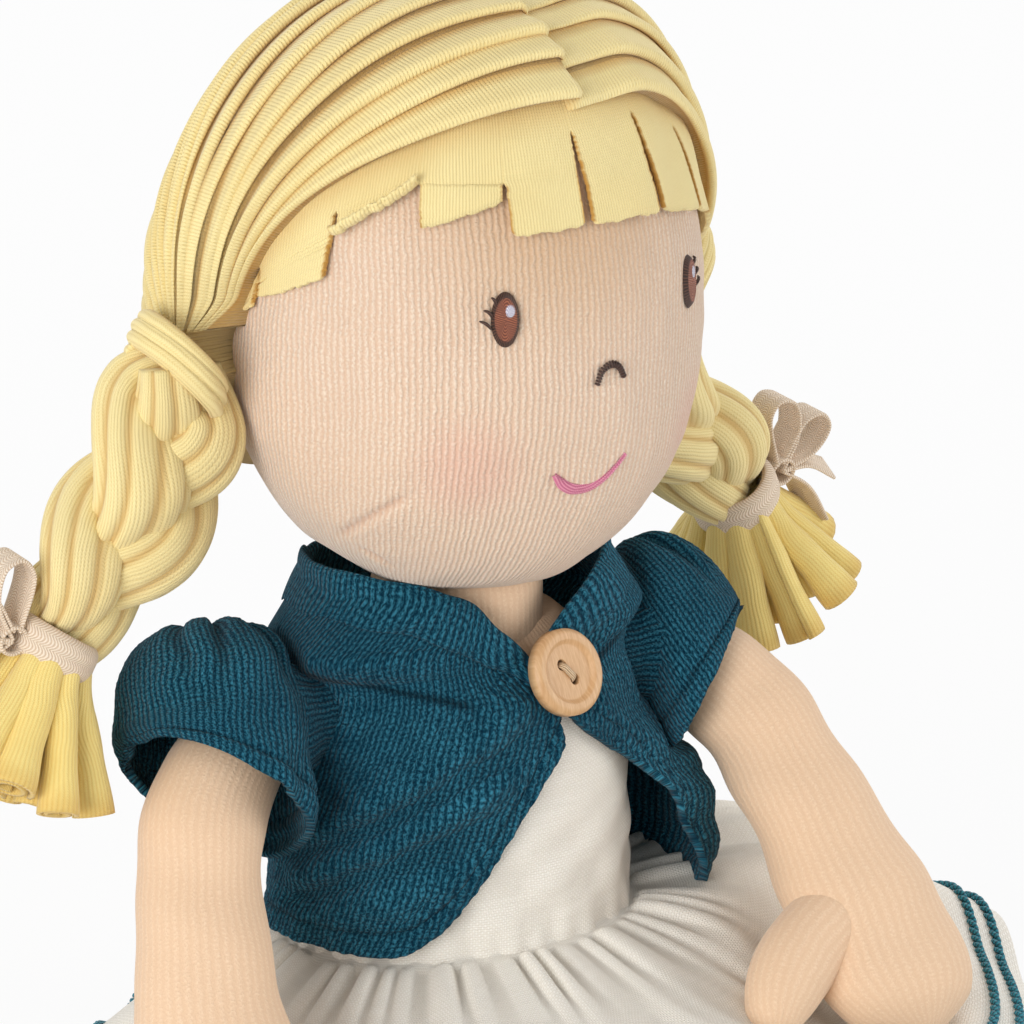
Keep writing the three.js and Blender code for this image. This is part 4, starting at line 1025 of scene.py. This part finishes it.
def bow(side):
    """Two standing loops and two hanging tails of tape, drawn together by a knot. Each is a
    line in the plane of the bow, turned about the knot by its own angle."""
    seat = np.array([tape_radius + 2.9, 0, -plait_length])
    patches = []
    for line, turn, grow, steps, twist in (
            (bow_loop, 28, 1.0, 60, 0), (bow_loop, 72, 0.95, 60, 0),
            (tail(21), -18, 1, 40, 0.5), (tail(17), -52, 1, 40, -0.4)):
        x, z = spun(*(np.array(line) * grow).T, -np.radians(turn))
        points, u, v = ribbon(spots(x, 0, z) + seat, tape_wide, steps, twist)
        patches.append(patch(hung(side, points), u=u, v=v))
    turn = np.linspace(0, TURN, 48)
    knot = spots(seat[0] + 3.0 * np.cos(turn), 0 * turn, seat[2] + 2.7 * np.sin(turn))
    share = np.linspace(-0.5, 0.5, 9)[:, None]
    points = knot[:, None] + np.array([0, 1.0, 0]) * share[None] * knot_wide
    patches.append(patch(hung(side, points), u=share[:, 0] * knot_wide,
                         v=travel(points)[:, None]))
    return patches


for side, name in SIDES:
    plait = f"plait_{name}"
    for index in (0, 1, 2):
        piece(f"strand_rolls_{name}_{index + 1}", [strand(index, side)], hair_knit, plait,
              f"plait_strand_{name}_{index + 1}")
    piece(f"wrap_strip_{name}", [wound(side, 9.9, -2.6, 1.2, 1.4, 7.4, 3.6, 0.35, 2)], hair_knit,
          plait, f"plait_wrap_{name}", wall=1.3, smooth=1)
    piece(f"tape_band_{name}", [wound(side, 8.5, -60.5, -59.5, 2.1, 7.6, 1.2, 0.0, 1)], tape,
          plait, f"plait_tape_{name}", wall=0.8, smooth=1)
    piece(f"tape_bow_{name}", bow(side), tape, plait, f"plait_bow_{name}", wall=0.8,
          smooth=1)
    piece(f"tuft_rolls_{name}", tuft(side), tuft_jersey_shaded_copy, plait, f"plait_tuft_{name}",
          wall=0.9)


# Arms, hanging from the shoulder along -z with +x outwards

shoulder_seat, shoulder_plane, shoulder_height, arm_drop = 34.2, 41.4, 91, 96
arm_reaches, arm_leans = {-1: 46, 1: 34}, {-1: 38, 1: 45}
arm_paths = {-1: [[.42, .06], [.66, .18], [.77, .30], [.90, .52], [.97, .72], [1, 1]],
             1: [[.56, .06], [.82, .20], [.92, .42], [.97, .66], [1, .88], [1, 1]]}
arm_shares = [[0, .75, .75], [.22, .97, .97], [.45, 1.04, 1], [.68, 1.28, 1.05], [.84, 1.42, .9],
              [.94, 1.2, .72], [1, .42, .3]]


def shoulder(side):
    return [frame_at((0, 0, shoulder_height), (-arm_leans[side], 0, 0))]


arm_radius, stub_radius = 12, 8.5
palm = 96                        # the row of the arm's 120 where the thumb starts
thumb_places = ((4, 14), (-9, 7.5), (-21, 0.5), (-29, -7), (-33, -14))     # from there


def arm_curve(side, steps):
    places = [[shoulder_plane, 0, 0]]
    for out, down in arm_paths[side]:
        places.append([shoulder_seat + arm_reaches[side] * out, 0, -arm_drop * down])
    return through(places, steps)


def limb_patch(side, points, round_):
    """A closed limb in the shoulder's frame, its velour mapped round_ mm to a radian."""
    return patch(within(shoulder(side), points, side), u=np.linspace(0, TURN, 65) * round_,
                 around=True, ends=(True, True))


def arm(side):
    """Stuffed limb: an oval section along the arm, wide and flat at the mitten hand, a
    thumb, a smaller oval that grows out of the palm, and a round stub in the shoulder."""
    path = arm_curve(side, 120)
    share = np.linspace(0, 1, 120)
    turn = around(64)
    wide = arm_radius * share_at(arm_shares, 1, share)[:, None]
    deep = arm_radius * share_at(arm_shares, 2, share)[:, None]
    wave = 0.35 * np.sin(share[:, None] * 31 + 2 * np.sin(turn)) * ease(share, 0.1, 0.3)[:, None]
    points = carried(path, (0, 1, 0), (wide + wave) * np.cos(turn), (deep + wave) * np.sin(turn))
    points[:4] = mix(points[3:4], path[0] - [6.6, 0, 0], np.linspace(1, 0, 4)[:, None, None])
    points = points + 0.25 * lumps(points, 18, 9)[..., None] * unit(points - path[:, None])
    limb = limb_patch(side, points, 11.5)
    middle = through([path[palm] + [x, 0, z] for x, z in thumb_places], 40)
    ring = np.linspace(0, 1, 40)
    round_ = np.sqrt(np.clip(1 - (np.maximum(ring - 0.55, 0) / 0.46) ** 2, 0.006, 1))
    round_ = (round_ * mix(0.75, 1, ease(ring, 0, 0.4)))[:, None]
    points = carried(middle, (0, 1, 0), 8.5 * round_ * np.cos(turn), 9.5 * round_ * np.sin(turn))
    thumb = limb_patch(side, points, 6.4)
    stub = spots(np.linspace(shoulder_seat + 0.5, shoulder_plane + 8, 12), 0, 0)
    points = carried(stub, (0, 1, 0), stub_radius * np.cos(turn), stub_radius * np.sin(turn))
    return [limb, thumb, limb_patch(side, points, stub_radius)]


for side, name in SIDES:
    piece(f"arm_velour_{name}", arm(side), skin_arm, f"arm_{name}", f"arm_{name}")


# Puff sleeves


def soft_max(a, b, blend=5.0):
    return (a + b + np.hypot(a - b, blend)) / 2


sleeve_shares = [[-1, .90], [-.75, .95], [-.4, .99], [0, 1], [.4, .97], [.75, .8], [.93, .52],
                 [1, .1]]
sleeve_radii, sleeve_outs = {-1: 19.5, 1: 17.2}, {-1: 14.6, 1: 9.4}
cap_rise, sleeve_drops = 21.3, {-1: 13.5, 1: 11.0}
hem_tilts = {-1: 0.55, 1: 0.62}
sleeve_lean = -14                # degrees
# A fold is its angle round the sleeve, its lean, its width in radians and its depth in mm
sleeve_folds = [(3.3, -0.35, .13, 2.2), (3.75, 0.2, .12, 2.6), (4.35, -0.3, .13, 2.4),
                (4.85, 0.25, .12, 2.7), (5.5, -0.25, .13, 2.0), (2.6, 0.2, .13, 2.0),
                (1.8, -0.2, .13, 2.0), (0.9, 0.2, .13, 1.6)]


def sleeve(side):
    """Gathered dome over the shoulder: the side's radius x its share at a height, with
    folds that slant down from the cap, a stitched hem groove, and a flat side at the
    armhole. The hem rises outwards."""
    rows, columns = 110, 200
    share = np.concatenate([np.linspace(-1, 0.7, 70), np.linspace(0.72, 1, 40)])
    turn = around(columns)
    radius = sleeve_radii[side] * share_at(sleeve_shares, 1, share)[:, None]
    tall = np.where(share > 0, cap_rise, sleeve_drops[side])[:, None]
    high = share[:, None]
    pucker = 0.0
    for at, slant, width, depth in sleeve_folds:
        line = at + slant * (1 - high)
        away = (turn - line + np.pi) % TURN - np.pi
        near = ease(high, -0.35, 0.75) * (1 - 0.6 * ease(high, 0.88, 1))
        pucker = pucker + depth * near * (bell(away, width) - 0.45 * bell(away, width * 2.4))
    swell = 0.5 * np.cos(7 * turn + 2 * np.sin(3 * turn)) * ease(-high, 0.2, 0.9)
    hem = 0.55 * bell(high + 0.72, 0.035) - 0.45 * bell(high + 0.86, 0.1)
    reach = radius - pucker - hem + swell
    hem_rise = -hem_tilts[side] * np.minimum(high, 0) * reach * np.cos(turn)
    points = spots(reach * np.cos(turn), reach * np.sin(turn), tall * high + hem_rise
                   - 0.6 * pucker * ease(high, 0.2, 1))
    points = points + 0.35 * lumps(points, 12, 20 + side)[..., None] * [1, 1, 0.5]
    middle = np.array([shoulder_plane + sleeve_outs[side], 0, 0])
    points = within([frame_at(middle, (0, sleeve_lean, 0))], points)
    points[..., 0] = soft_max(points[..., 0], shoulder_plane - 1.8, 2.5)
    points = points + 0.1 * lumps(points, 1.5, 3)[..., None] * unit(points - points.mean((0, 1)))
    inside = within(shoulder(side), middle, side)
    # painted shade in the puckers and along the hem groove
    painted_shade = np.clip(0.3 * pucker + 0.6 * bell(high + 0.72, 0.02), 0, 0.85)
    return patch(within(shoulder(side), points, side), u=np.linspace(0, TURN, columns + 1) * 20,
                 around=True, ends=(False, True), inside=inside, painted_shade=painted_shade)


def armhole(side):
    """The sleeve's gathered head inside the armhole: a ring about the shoulder's axis that
    widens from 11.5 mm in the body to 14 mm in the sleeve, with small puckers."""
    share = np.linspace(0, 1, 26)[:, None]
    turn = around(150)
    x = mix(27, shoulder_plane + 2, share)
    radius = 11.5 + 2.5 * ease(share, 0.6, 1) + 0.35 * np.sin(turn * 23 + np.sin(5 * turn)) * share
    points = spots(x, radius * np.cos(turn), radius * np.sin(turn))
    # painted shade, darkest deep in the armhole
    return patch(within(shoulder(side), points, side), u=np.linspace(0, TURN, 151) * 14,
                 around=True, inside=within(shoulder(side), np.array([38, 0, 0]), side),
                 painted_shade=0.45 * (1 - share) * np.ones((1, 150)))


puffs = {side: piece(f"sleeve_velour_{name}", [sleeve(side)], teal_velour, f"arm_{name}",
                     f"sleeve_{name}", wall=1.7, side=-1) for side, name in SIDES}
for side, name in SIDES:
    head = piece(f"sleeve_head_{name}", [armhole(side)], teal_velour, f"arm_{name}",
                 wall=1.4, side=-1)


# Legs, lying along -y from the hip

leg_shares = [[0, .56], [.04, .57], [.1, .74], [.2, .96], [.45, 1], [.78, .84], [1, .8]]
leg_thick, leg_run, leg_splay = 15, 138, 4
hip = (18, -31)
heel, foot_reach, foot_rise = 11.5, 12.5, 26


def leg_radius(share):
    return leg_thick * share_at(leg_shares, 1, share)


def leg(side):
    """Stuffed leg that lies on the ground, its foot turned up; flattened where it lies."""
    limb = [[0, -leg_run * s, leg_radius(s) - 0.5] for s in np.array(leg_shares)[:, 0]]
    foot = [[0, -leg_run - foot_reach * out, heel + foot_rise * up_]
            for out, up_ in ((.72, .2), (1, .6), (1, 1))]
    path = through(limb + foot, 150)
    run = np.r_[0, np.cumsum(np.linalg.norm(np.diff(path, axis=0), axis=1))]
    past = np.clip((run - leg_run) / (run[-1] - leg_run), 0, 1)
    closed = np.maximum(past - 0.45, 0) / 0.55
    radius = np.where(run < leg_run, leg_radius(np.minimum(run / leg_run, 1)),
                      mix(12, 12.5, past) * np.sqrt(1 - 0.985 * closed ** 2))
    radius = (radius * np.sqrt(ease(run, -6, 7)))[:, None]
    turn = around(64)
    points = carried(path, (1, 0, 0), radius * np.cos(turn), radius * np.sin(turn))
    points = points + 0.3 * lumps(points, 20, 15)[..., None] * unit(points - path[:, None])
    points[..., 2] = np.maximum(points[..., 2], 0.05)
    place = [frame_at((side * hip[0], hip[1], 0), (0, 0, side * leg_splay))]
    return patch(within(place, points), u=np.linspace(0, TURN, 65) * 13, around=True,
                 ends=(True, True))


for side, name in SIDES:
    piece(f"leg_velour_{name}", [leg(side)], skin_arm, f"leg_{name}",
                    f"leg_{name}")


# Dress

bolero_lift = gap + linen_cloth + gap


def bodice():
    """Linen over the body from the waist to the armholes, with wrinkles that rise from the
    waist seam and slanting pulls across the front."""
    turn = around(360)
    share = np.linspace(0, 1, 70)[:, None]
    top = 90 - 16 * np.abs(np.sin(turn)) ** 6
    height = mix(waist, top, share)
    rise = height - waist
    wrinkle = (0.5 * np.sin(turn * 31 + 1.5 * np.sin(turn * 5)) * bell(rise, 6)
               + 0.55 * np.sin(turn * 13 + height * 0.22) * bell(rise - 10, 12)
               + 0.45 * np.sin(height * 0.5 - turn * 9) * bell(rise - 16, 12))
    lift = 1.0 + np.maximum(wrinkle, -0.5) * 0.8
    # painted shade in the hollows of the wrinkles
    return patch(on_torso(turn, height, lift), u=np.linspace(0, TURN, 361) * 34, v=rise,
                 around=True, inside=(0, 0, 65), painted_shade=np.clip(-wrinkle * 0.12, 0, 0.5))


cloth = piece("bodice_linen", [bodice()], linen, "torso", "dress_bodice", wall=0.8)

# The hem lies nearer at the doll's right back and further out beside its left hand
skirt_reach, reach_less, reach_more = 107, 28, 13


def limb_places():
    """What lies under the skirt and on it: points along the legs and the arms, with radii."""
    share = np.arange(1, 9) / 10
    legs, arms = [], []
    for side in (-1, 1):
        turn, radius = np.radians(leg_splay * side), leg_radius(share)
        legs += list(zip(side * hip[0] + leg_run * share * np.sin(turn),
                         hip[1] - leg_run * share * np.cos(turn), radius - 0.5, radius))
        path, lean = arm_curve(side, 200), np.radians(arm_leans[side])
        part = share[2:]
        seat = path[np.round(199 * (part + (1 - part) * part / 2)).astype(int)]
        arms += list(zip(side * seat[:, 0], seat[:, 2] * np.sin(lean),
                         shoulder_height + seat[:, 2] * np.cos(lean),
                         arm_radius * share_at(arm_shares, 2, part)))
    return legs, arms


def skirt_height(turn, v, fold, lift=0.0):
    """From the waist to the hem, which stands up at the doll's left: a sagging line, a crown,
    the folds, then over the legs and under the arms."""
    degrees = np.degrees(turn) % 360
    raised = 1 - ease(np.abs(degrees - 88), 15, 62)
    reach = (skirt_reach + 1.2 * np.cos(14 * turn) * v
             - reach_less * (1 - ease(np.abs(degrees - 222), 26, 82))
             + reach_more * (1 - ease(np.abs(degrees - 80), 15, 60)))
    hem = spots(reach * np.sin(turn), -reach * np.cos(turn), 0 * v)
    top = on_torso(turn, waist + 0 * v, bolero_lift)
    seat = top + (hem - top) * v[..., None]
    height = (mix(waist, mix(4, 21, raised), v ** 1.15) + mix(1, 10, raised) * np.sin(np.pi * v)
              + fold)
    legs, arms = limb_places()
    for x, y, z, radius in legs:
        away = (seat[..., 0] - x) ** 2 + (seat[..., 1] - y) ** 2
        height = soft_max(height, z + radius + 1.6 - away / (2 * radius))
    for x, y, z, radius in arms:
        away = (seat[..., 0] - x) ** 2 + (seat[..., 1] - y) ** 2
        height = -soft_max(-height, -(z - radius - 1.4 + away / 44))
    return seat, np.maximum(height, gap) + lift


def skirt_places(turn, v, lift=0.0):
    """The skirt's cloth with its gathers: uneven pleats that are deep at the waist and
    spread into soft waves, and how deep a point lies between two pleats."""
    turn, v = np.broadcast_arrays(turn, v)
    phase = turn * 44 + 1.6 * np.sin(turn * 7) + 1.0 * np.sin(turn * 17 + 1)
    square = np.tanh(1.3 * np.sin(phase))
    pleat = (square * (1.2 + 0.6 * np.sin(turn * 13 + 2)) * ease(v, 0.0, 0.03)
             * (1 - ease(v, 0.04, 0.34)))
    wave = 2.2 * np.cos(14 * turn) * v + 0.9 * np.sin(turn * 23 + 2 * v) * ease(v, 0.1, 0.5)
    small = 0.5 * np.sin(phase + 0.5) * ease(v, 0.2, 0.4) * (1 - ease(v, 0.6, 1))
    seat, height = skirt_height(turn, v, wave + pleat + small, lift)
    points = spots(seat[..., 0], seat[..., 1], height)
    dip = np.clip(-square, 0, 1) * ease(v, 0.0, 0.02) * (1 - ease(v, 0.08, 0.38))
    return points, dip


def skirt():
    """The skirt from its tucked top inside the bodice to the hem, finer near the waist."""
    turn = around(840)
    v = np.concatenate([np.linspace(0, 0.2, 36), np.linspace(0.208, 1, 84)])[:, None]
    points, dip = skirt_places(turn, v, 0.6)
    tucked = [on_torso(turn, waist + up, out) for up, out in ((4.0, 0.3), (2.0, 0.5), (0.6, 1.0))]
    points = np.concatenate([*tucked, points])
    dip = np.concatenate([0 * dip[:3], dip])
    v = np.concatenate([[[-0.06], [-0.03], [-0.01]], v])
    # painted shade between the pleats near the waist
    return patch(points, u=np.linspace(0, TURN, 841) * 75, v=v * 74, around=True,
                 inside=(0, 0, -500), painted_shade=0.32 * dip)


cloth = piece("skirt_linen", [skirt()], linen, "torso", "dress_skirt", wall=0.9)


def hem_cords(v):
    """Chain stitch near the hem: two closed cords twisted together, each a ring of six
    carried along the hem's line."""
    count = 3000
    turn = np.linspace(0, TURN, count, endpoint=False)
    points, _ = skirt_places(turn, np.full(count, v), 1.7)
    along = unit(np.roll(points, -1, 0) - np.roll(points, 1, 0))
    outward = unit(np.cross(along, [0, 0, 1.0]))
    rise = np.cross(outward, along)
    made = []
    for shift in (0, np.pi):
        spin = turn * 150 + shift
        path = points + 0.55 * (outward * np.cos(spin)[:, None] + rise * np.sin(spin)[:, None])
        way = unit(np.roll(path, -1, 0) - np.roll(path, 1, 0))
        depth = unit(rise - way * (way * rise).sum(-1, keepdims=True))
        wide = np.cross(way, depth)
        ring = around(6)[0]
        loop = (path[:, None] + 0.56 * (wide[:, None] * np.cos(ring)[:, None]
                                        + depth[:, None] * np.sin(ring)[:, None]))
        loop = np.concatenate([loop, loop[:1]])
        made.append(patch(loop, u=np.linspace(0, 3.5, 7), around=True, inside=(0, 0, -2000),
                          v=np.linspace(0, 640, count + 1)[:, None]))
    return made


for k, v in enumerate((0.89, 0.95)):
    piece(f"hem_stitches_{k + 1}", hem_cords(v), teal_thread, "torso")


# Bolero

front_place, side_place = 12, 98
neck_edge = [[0, 92.5], [3, 95.5], [8, 99.5], [19, 104.5], [35, 109], [60, 112.5],
             [100, 114], [130, 112.5], [180, 107.5]]
cutaway_height, bolero_hem = 92.3, 45.6
left_hem = [[12, 92.3], [22, 85.5], [33, 80.5], [45, 75], [52, 69], [57, 62], [60, 55.5],
            [64, 47.5], [70, 42], [80, 38.5], [98, 38], [115, 40.5], [135, 44.5],
            [150, 45.6], [270, 45.6]]
left_lobe = [[12, 0], [20, 0], [30, .12], [45, .42], [57, .62], [70, 1], [84, 1], [98, .92],
             [115, .62], [135, .25], [155, 0], [270, 0]]


def cover(turn, height, lift):
    """Bolero's surface: the body's, and above 92 mm more and more an upright oval round the
    neck, 21 mm to the front and 27 mm to the back, that widens below 117 mm towards the
    shoulders. Near the neckline the front edges lean 7 degrees to the doll's right."""
    turn, height, lift = np.broadcast_arrays(turn, height, lift)
    place = (np.degrees(turn) + 180) % 360 - 180
    lean = ease(height, 92, 100) * (1 - ease(np.abs(place - front_place), 8, 40))
    turn = turn - np.radians(7) * lean
    below = on_torso(turn, np.minimum(height, 100), lift)
    deep = mix(17.5, 23.5, 0.5 - 0.5 * np.cos(turn)) + lift
    wide = 27.5 + lift + 0.9 * np.clip(117 - height, 0, 12)
    above = spots(wide * np.sin(turn), -deep * np.cos(turn), height)
    return mix(below, above, ease(height, 92, 106)[..., None])


def top_edge(beside):
    return share_at(neck_edge, 1, np.minimum(beside, 360 - beside))


def bottom_edge(place):
    near = np.minimum(np.abs(place - front_place) / 60, 1)
    right = mix(cutaway_height, bolero_hem, ease(mix(0.26, 1, near), 0, 1))
    return np.where(place < front_place, right, share_at(left_hem, 1, np.maximum(place, 12)))


# A fold is where it ends, as degrees before the front edge and a height, its width and size
folds_to = ((4, 96, 3.6, 1.7), (6, 89, 2.8, -2.0), (10, 83, 3.2, 1.9), (20, 73, 2.8, -1.8),
            (26, 64, 3.6, 1.3))
pit_place, pit_height = 86, 66
mm_per_degree = 0.62             # round the body under the bolero
snug_width, lobe_flare = 38.4, 15


def bolero_folds(place, height):
    """Folds of the bolero: long soft ridges and hollows from the armpits to the button, each
    a bell across its line, fainter on the doll's left."""
    folds = 0.0
    for side in (-1, 1):
        pit = np.array([side * pit_place, pit_height])
        for k, (before, level, width, size) in enumerate(folds_to):
            start, stop = pit + [0, -4 * k], np.array([front_place - before, level], float)
            size = size * (0.4 if side > 0 else 1)
            scale = np.array([mm_per_degree, 1.0])
            a, b = start * scale, stop * scale
            length = np.hypot(*(b - a))
            way = (b - a) / length
            x, y = place * scale[0] - a[0], height - a[1]
            along, away = x * way[0] + y * way[1], x * way[1] - y * way[0]
            folds = folds + size * bell(away, width) * ease(along, -4, 6) * (
                1 - ease(along, length - 14, length + 2))
    return folds


def raglan(place, height):
    """Nearness to the seam from the neck to the armhole, either side."""
    made = 0.0
    for side in (-1, 1):
        made = made + groove(place * mm_per_degree * side, height, (12, 94), (54, 105), 0.9)
    return made


def bolero(start, end, columns):
    """Panel over the bodice, from the neckline to its curved hem, with folds, a slanting
    seam and a stitch line 5 mm inside the hem. The left front flares away from the body,
    and beside the arms nothing goes past the snug width."""
    share = np.linspace(0, 1, 110)[:, None]
    place = np.linspace(start, end, columns)[None]
    height = mix(top_edge(np.abs(place - front_place)), bottom_edge(place), share)
    down = np.clip((74 - height) / (74 - waist), 0, 1)
    signed = np.where(place > 180, place - 360, place)
    folds, seam_ = bolero_folds(signed, height), raglan(signed, height)
    run = (1 - share) * (top_edge(np.abs(place - front_place)) - bottom_edge(place))
    hem = bell(run - 5.0, 0.8)
    turn = np.radians(place)
    base = bolero_lift + 1.0 + 2.6 * down ** 2
    wave = 0.8 * np.sin(turn * 7 + 1) * ease(down, 0.2, 1)
    lobe = (share_at(left_lobe, 1, np.maximum(place, 12)) * ease(88 - height, 0, 26)
            * (1 - 0.3 * ease(52 - height, 0, 14)))
    flat = on_torso(turn, height, base)
    lift = base + folds + 0.35 * lumps(flat, 11, 8) + wave + lobe_flare * lobe
    lift = lift + 0.1 * lumps(flat, 1.5, 5)
    lift = np.maximum(lift - 0.9 * seam_ - 0.35 * hem, bolero_lift + 0.95)
    points = cover(turn, height, lift)
    snug = ease(height, 70, 76) * ease(np.abs(points[..., 0]), 30, 36)
    wide = np.minimum(np.abs(points[..., 0]), snug_width) * np.sign(points[..., 0])
    points[..., 0] = mix(points[..., 0], wide, snug)
    # the last value is painted shade: along the raglan seam, the hem stitch line and in the
    # hollows of the folds
    return points, place, height, np.clip(0.75 * seam_ + 0.5 * hem - 0.12 * folds, 0, 0.85)


def panel(name, start, end, columns, node):
    """One panel as a sheet, without the faces round the shoulder's axis, where the sleeve's
    head comes through. The right front's wales slant."""
    points, place, height, painted_shade = bolero(start, end, columns)
    slant = -0.36 * height * (end < 20)
    made = patch(points, u=np.radians(place) * 36 + slant, v=-height, inside=(0, 0, 75),
                 painted_shade=painted_shade)
    clear = np.hypot(made["points"][:, 1], made["points"][:, 2] - shoulder_height) > 10.2
    clear |= np.abs(made["points"][:, 0]) < 14
    keep = clear[made["faces"][0]].all(1)
    made["faces"][0], made["maps"][0] = made["faces"][0][keep], made["maps"][0][keep]
    cloth = piece(name, [made], teal_velour, "torso", node, wall=1.9)


seam_place = np.degrees(gap / torso_wide)
panel("bolero_cloth_back", side_place, 360 - side_place, 260, "bolero_back")
panel("bolero_cloth_right", seam_place - side_place, front_place - seam_place, 200,
      "bolero_front_right")
panel("bolero_cloth_left", front_place + seam_place, side_place - seam_place, 240,
      "bolero_front_left")


def collar():
    """Folded band round the neck: an upright oval section carried along the neckline."""
    turn = np.linspace(2 * seam_place, 360 - 2 * seam_place, 260)[:, None]
    beside = np.minimum(turn, 360 - turn)
    width = mix(10.0, 9.6, ease(beside, 0, 40))
    loop = np.linspace(0, TURN, 40, endpoint=False)[None]
    rise = width * (0.5 - 0.5 * np.cos(loop)) - 1.8
    out = 1.0 + 1.1 * np.sin(loop) * (1 - 0.25 * np.cos(loop))
    height = top_edge(beside) + gap + rise
    points = cover(np.radians(front_place + turn), height, bolero_lift + 1.6 + out)
    points = points + 0.25 * lumps(points, 8, 6)[..., None]
    return patch(points, u=np.radians(turn) * 27, v=np.linspace(0, 1, 41) * 18, around=True,
                 ends=(True, True))


cloth = piece("collar_band", [collar()], teal_velour, "torso", "bolero_collar")


# Button

button_turn, hole_out = np.radians(35), 2.1


def facing(seat, ahead):
    """Axes of a piece made on the xy plane that stands on a seat, facing a second point."""
    outward = unit(ahead - seat)
    beside = unit(np.cross([0, 0, 1.0], outward))
    return np.stack([beside, np.cross(outward, beside), outward], 1), seat


def button():
    """Turned disc: rim, dished middle, two holes; closed behind."""
    reach = np.concatenate([np.linspace(0.02, 5.2, 70), np.linspace(5.3, 8.7, 44)])[:, None]
    turn = around(200)
    x, y = reach * np.cos(turn), reach * np.sin(turn)
    front = (2.35 + 0.85 * ease(reach, 5.4, 6.6) - 0.9 * np.clip((reach - 7.3) / 1.4, 0, 1) ** 2.4
             - 0.12 * bell(reach, 4))
    holes = 0.0
    for side in (-1, 1):
        holes = holes + 1 - ease(np.hypot(x, y - side * hole_out), 0.8, 1.15)
    front = front - 2.1 * np.clip(holes, 0, 1)
    behind = 0.25 * ease(reach, 7.8, 8.7) + 0 * turn
    points = np.concatenate([spots(x, y, front), spots(x, y, behind)[::-1]])
    turned = spots(*spun(points[..., 0], points[..., 1], button_turn), points[..., 2])
    lift = bolero_lift + velour_cloth + gap
    at = np.radians(15)
    seat, ahead = on_torso(at, 96.8, lift + 0.2), on_torso(at, 96.8, lift + 3.2)
    # painted shade in the two holes
    painted_shade = np.concatenate([np.clip(holes, 0, 1) + 0 * x, 0 * x])
    made = patch(within([facing(seat, ahead)], turned), around=True, ends=(True, True),
                 painted_shade=painted_shade)
    made["maps"][0] = flat_map(turned[..., 0], turned[..., 1])
    return made, facing(seat, ahead)


disc, button_frame = button()
piece("button_wood", [disc], wood, "torso", "button")
threads = []
for k in (-1, 0, 1):
    share = np.linspace(-1, 1, 16)
    x, y = spun(0.42 * k * np.ones(16), 2.3 * share, button_turn)
    z = 2.55 - 1.5 * np.abs(share) ** 6 + 0.12 * (k == 0)
    threads.append(tube(within([button_frame], spots(x, y, z)), 0.3, 8))
piece("button_thread", threads, beige_thread, "torso")


# Floor, light

def seen_plain(nodes):
    """1 for rays that should see the white background: camera, glossy, transmission."""
    ray = [nodes.node("ShaderNodeLightPath", {}, {}, k) for k in
           ("Is Camera Ray", "Is Glossy Ray", "Is Transmission Ray")]
    return ray[0] + ray[1] + ray[2]


def plain_floor():
    """A wide level floor, white to the camera and in reflections, that keeps the shadow."""
    mesh = bpy.data.meshes.new("floor")
    mesh.from_pydata([(-6, -6, 0), (6, -6, 0), (6, 6, 0), (-6, 6, 0)], [], [(0, 1, 2, 3)])
    floor = bpy.data.objects.new("floor", mesh)
    scene.collection.objects.link(floor)
    material = bpy.data.materials.new("pale_floor")
    f = Nodes(material)
    f.tree.nodes.remove(f.tree.nodes["Principled BSDF"])
    matt = f.node("ShaderNodeBsdfDiffuse", {}, {"Color": (0.82, 0.82, 0.82, 1)})
    glow = f.node("ShaderNodeEmission", {}, {"Color": (1, 1, 1, 1), "Strength": 1.0})
    both = f.node("ShaderNodeMixShader", {}, {0: seen_plain(f) * 0.9, 1: matt, 2: glow})
    f.tree.links.new(both.socket, f.tree.nodes["Material Output"].inputs["Surface"])
    mesh.materials.append(material)


def plain_world(strength):
    world = bpy.data.worlds.new("studio")
    scene.world = world
    w = Nodes(world)
    level = strength + (1 - strength) * seen_plain(w)
    background = w.tree.nodes["Background"]
    background.inputs["Color"].default_value = (1, 1, 1, 1)
    w.tree.links.new(level.socket, background.inputs["Strength"])


def lamp(name, place, aim, size, power):
    data = bpy.data.lights.new(name, "AREA")
    data.shape, data.size, data.energy = "DISK", size, power
    made = bpy.data.objects.new(name, data)
    out = unit(np.array(place, float) - aim)
    beside = unit(np.cross([0, 0, 1.0], out))
    over = np.cross(out, beside)
    made.matrix_world = Matrix([[beside[i], over[i], out[i], place[i]] for i in range(3)]
                               + [[0, 0, 0, 1]])
    scene.collection.objects.link(made)


plain_floor()
plain_world(0.56)
aim = np.array([0, 0, 0.13])
lamp("key", (-1.25, -0.7, 0.4), aim, 0.9, 13)
lamp("fill", (1.25, -0.6, 0.35), aim, 1.0, 8)
lamp("rim", (0.6, 1.1, 1.2), aim, 0.9, 7)
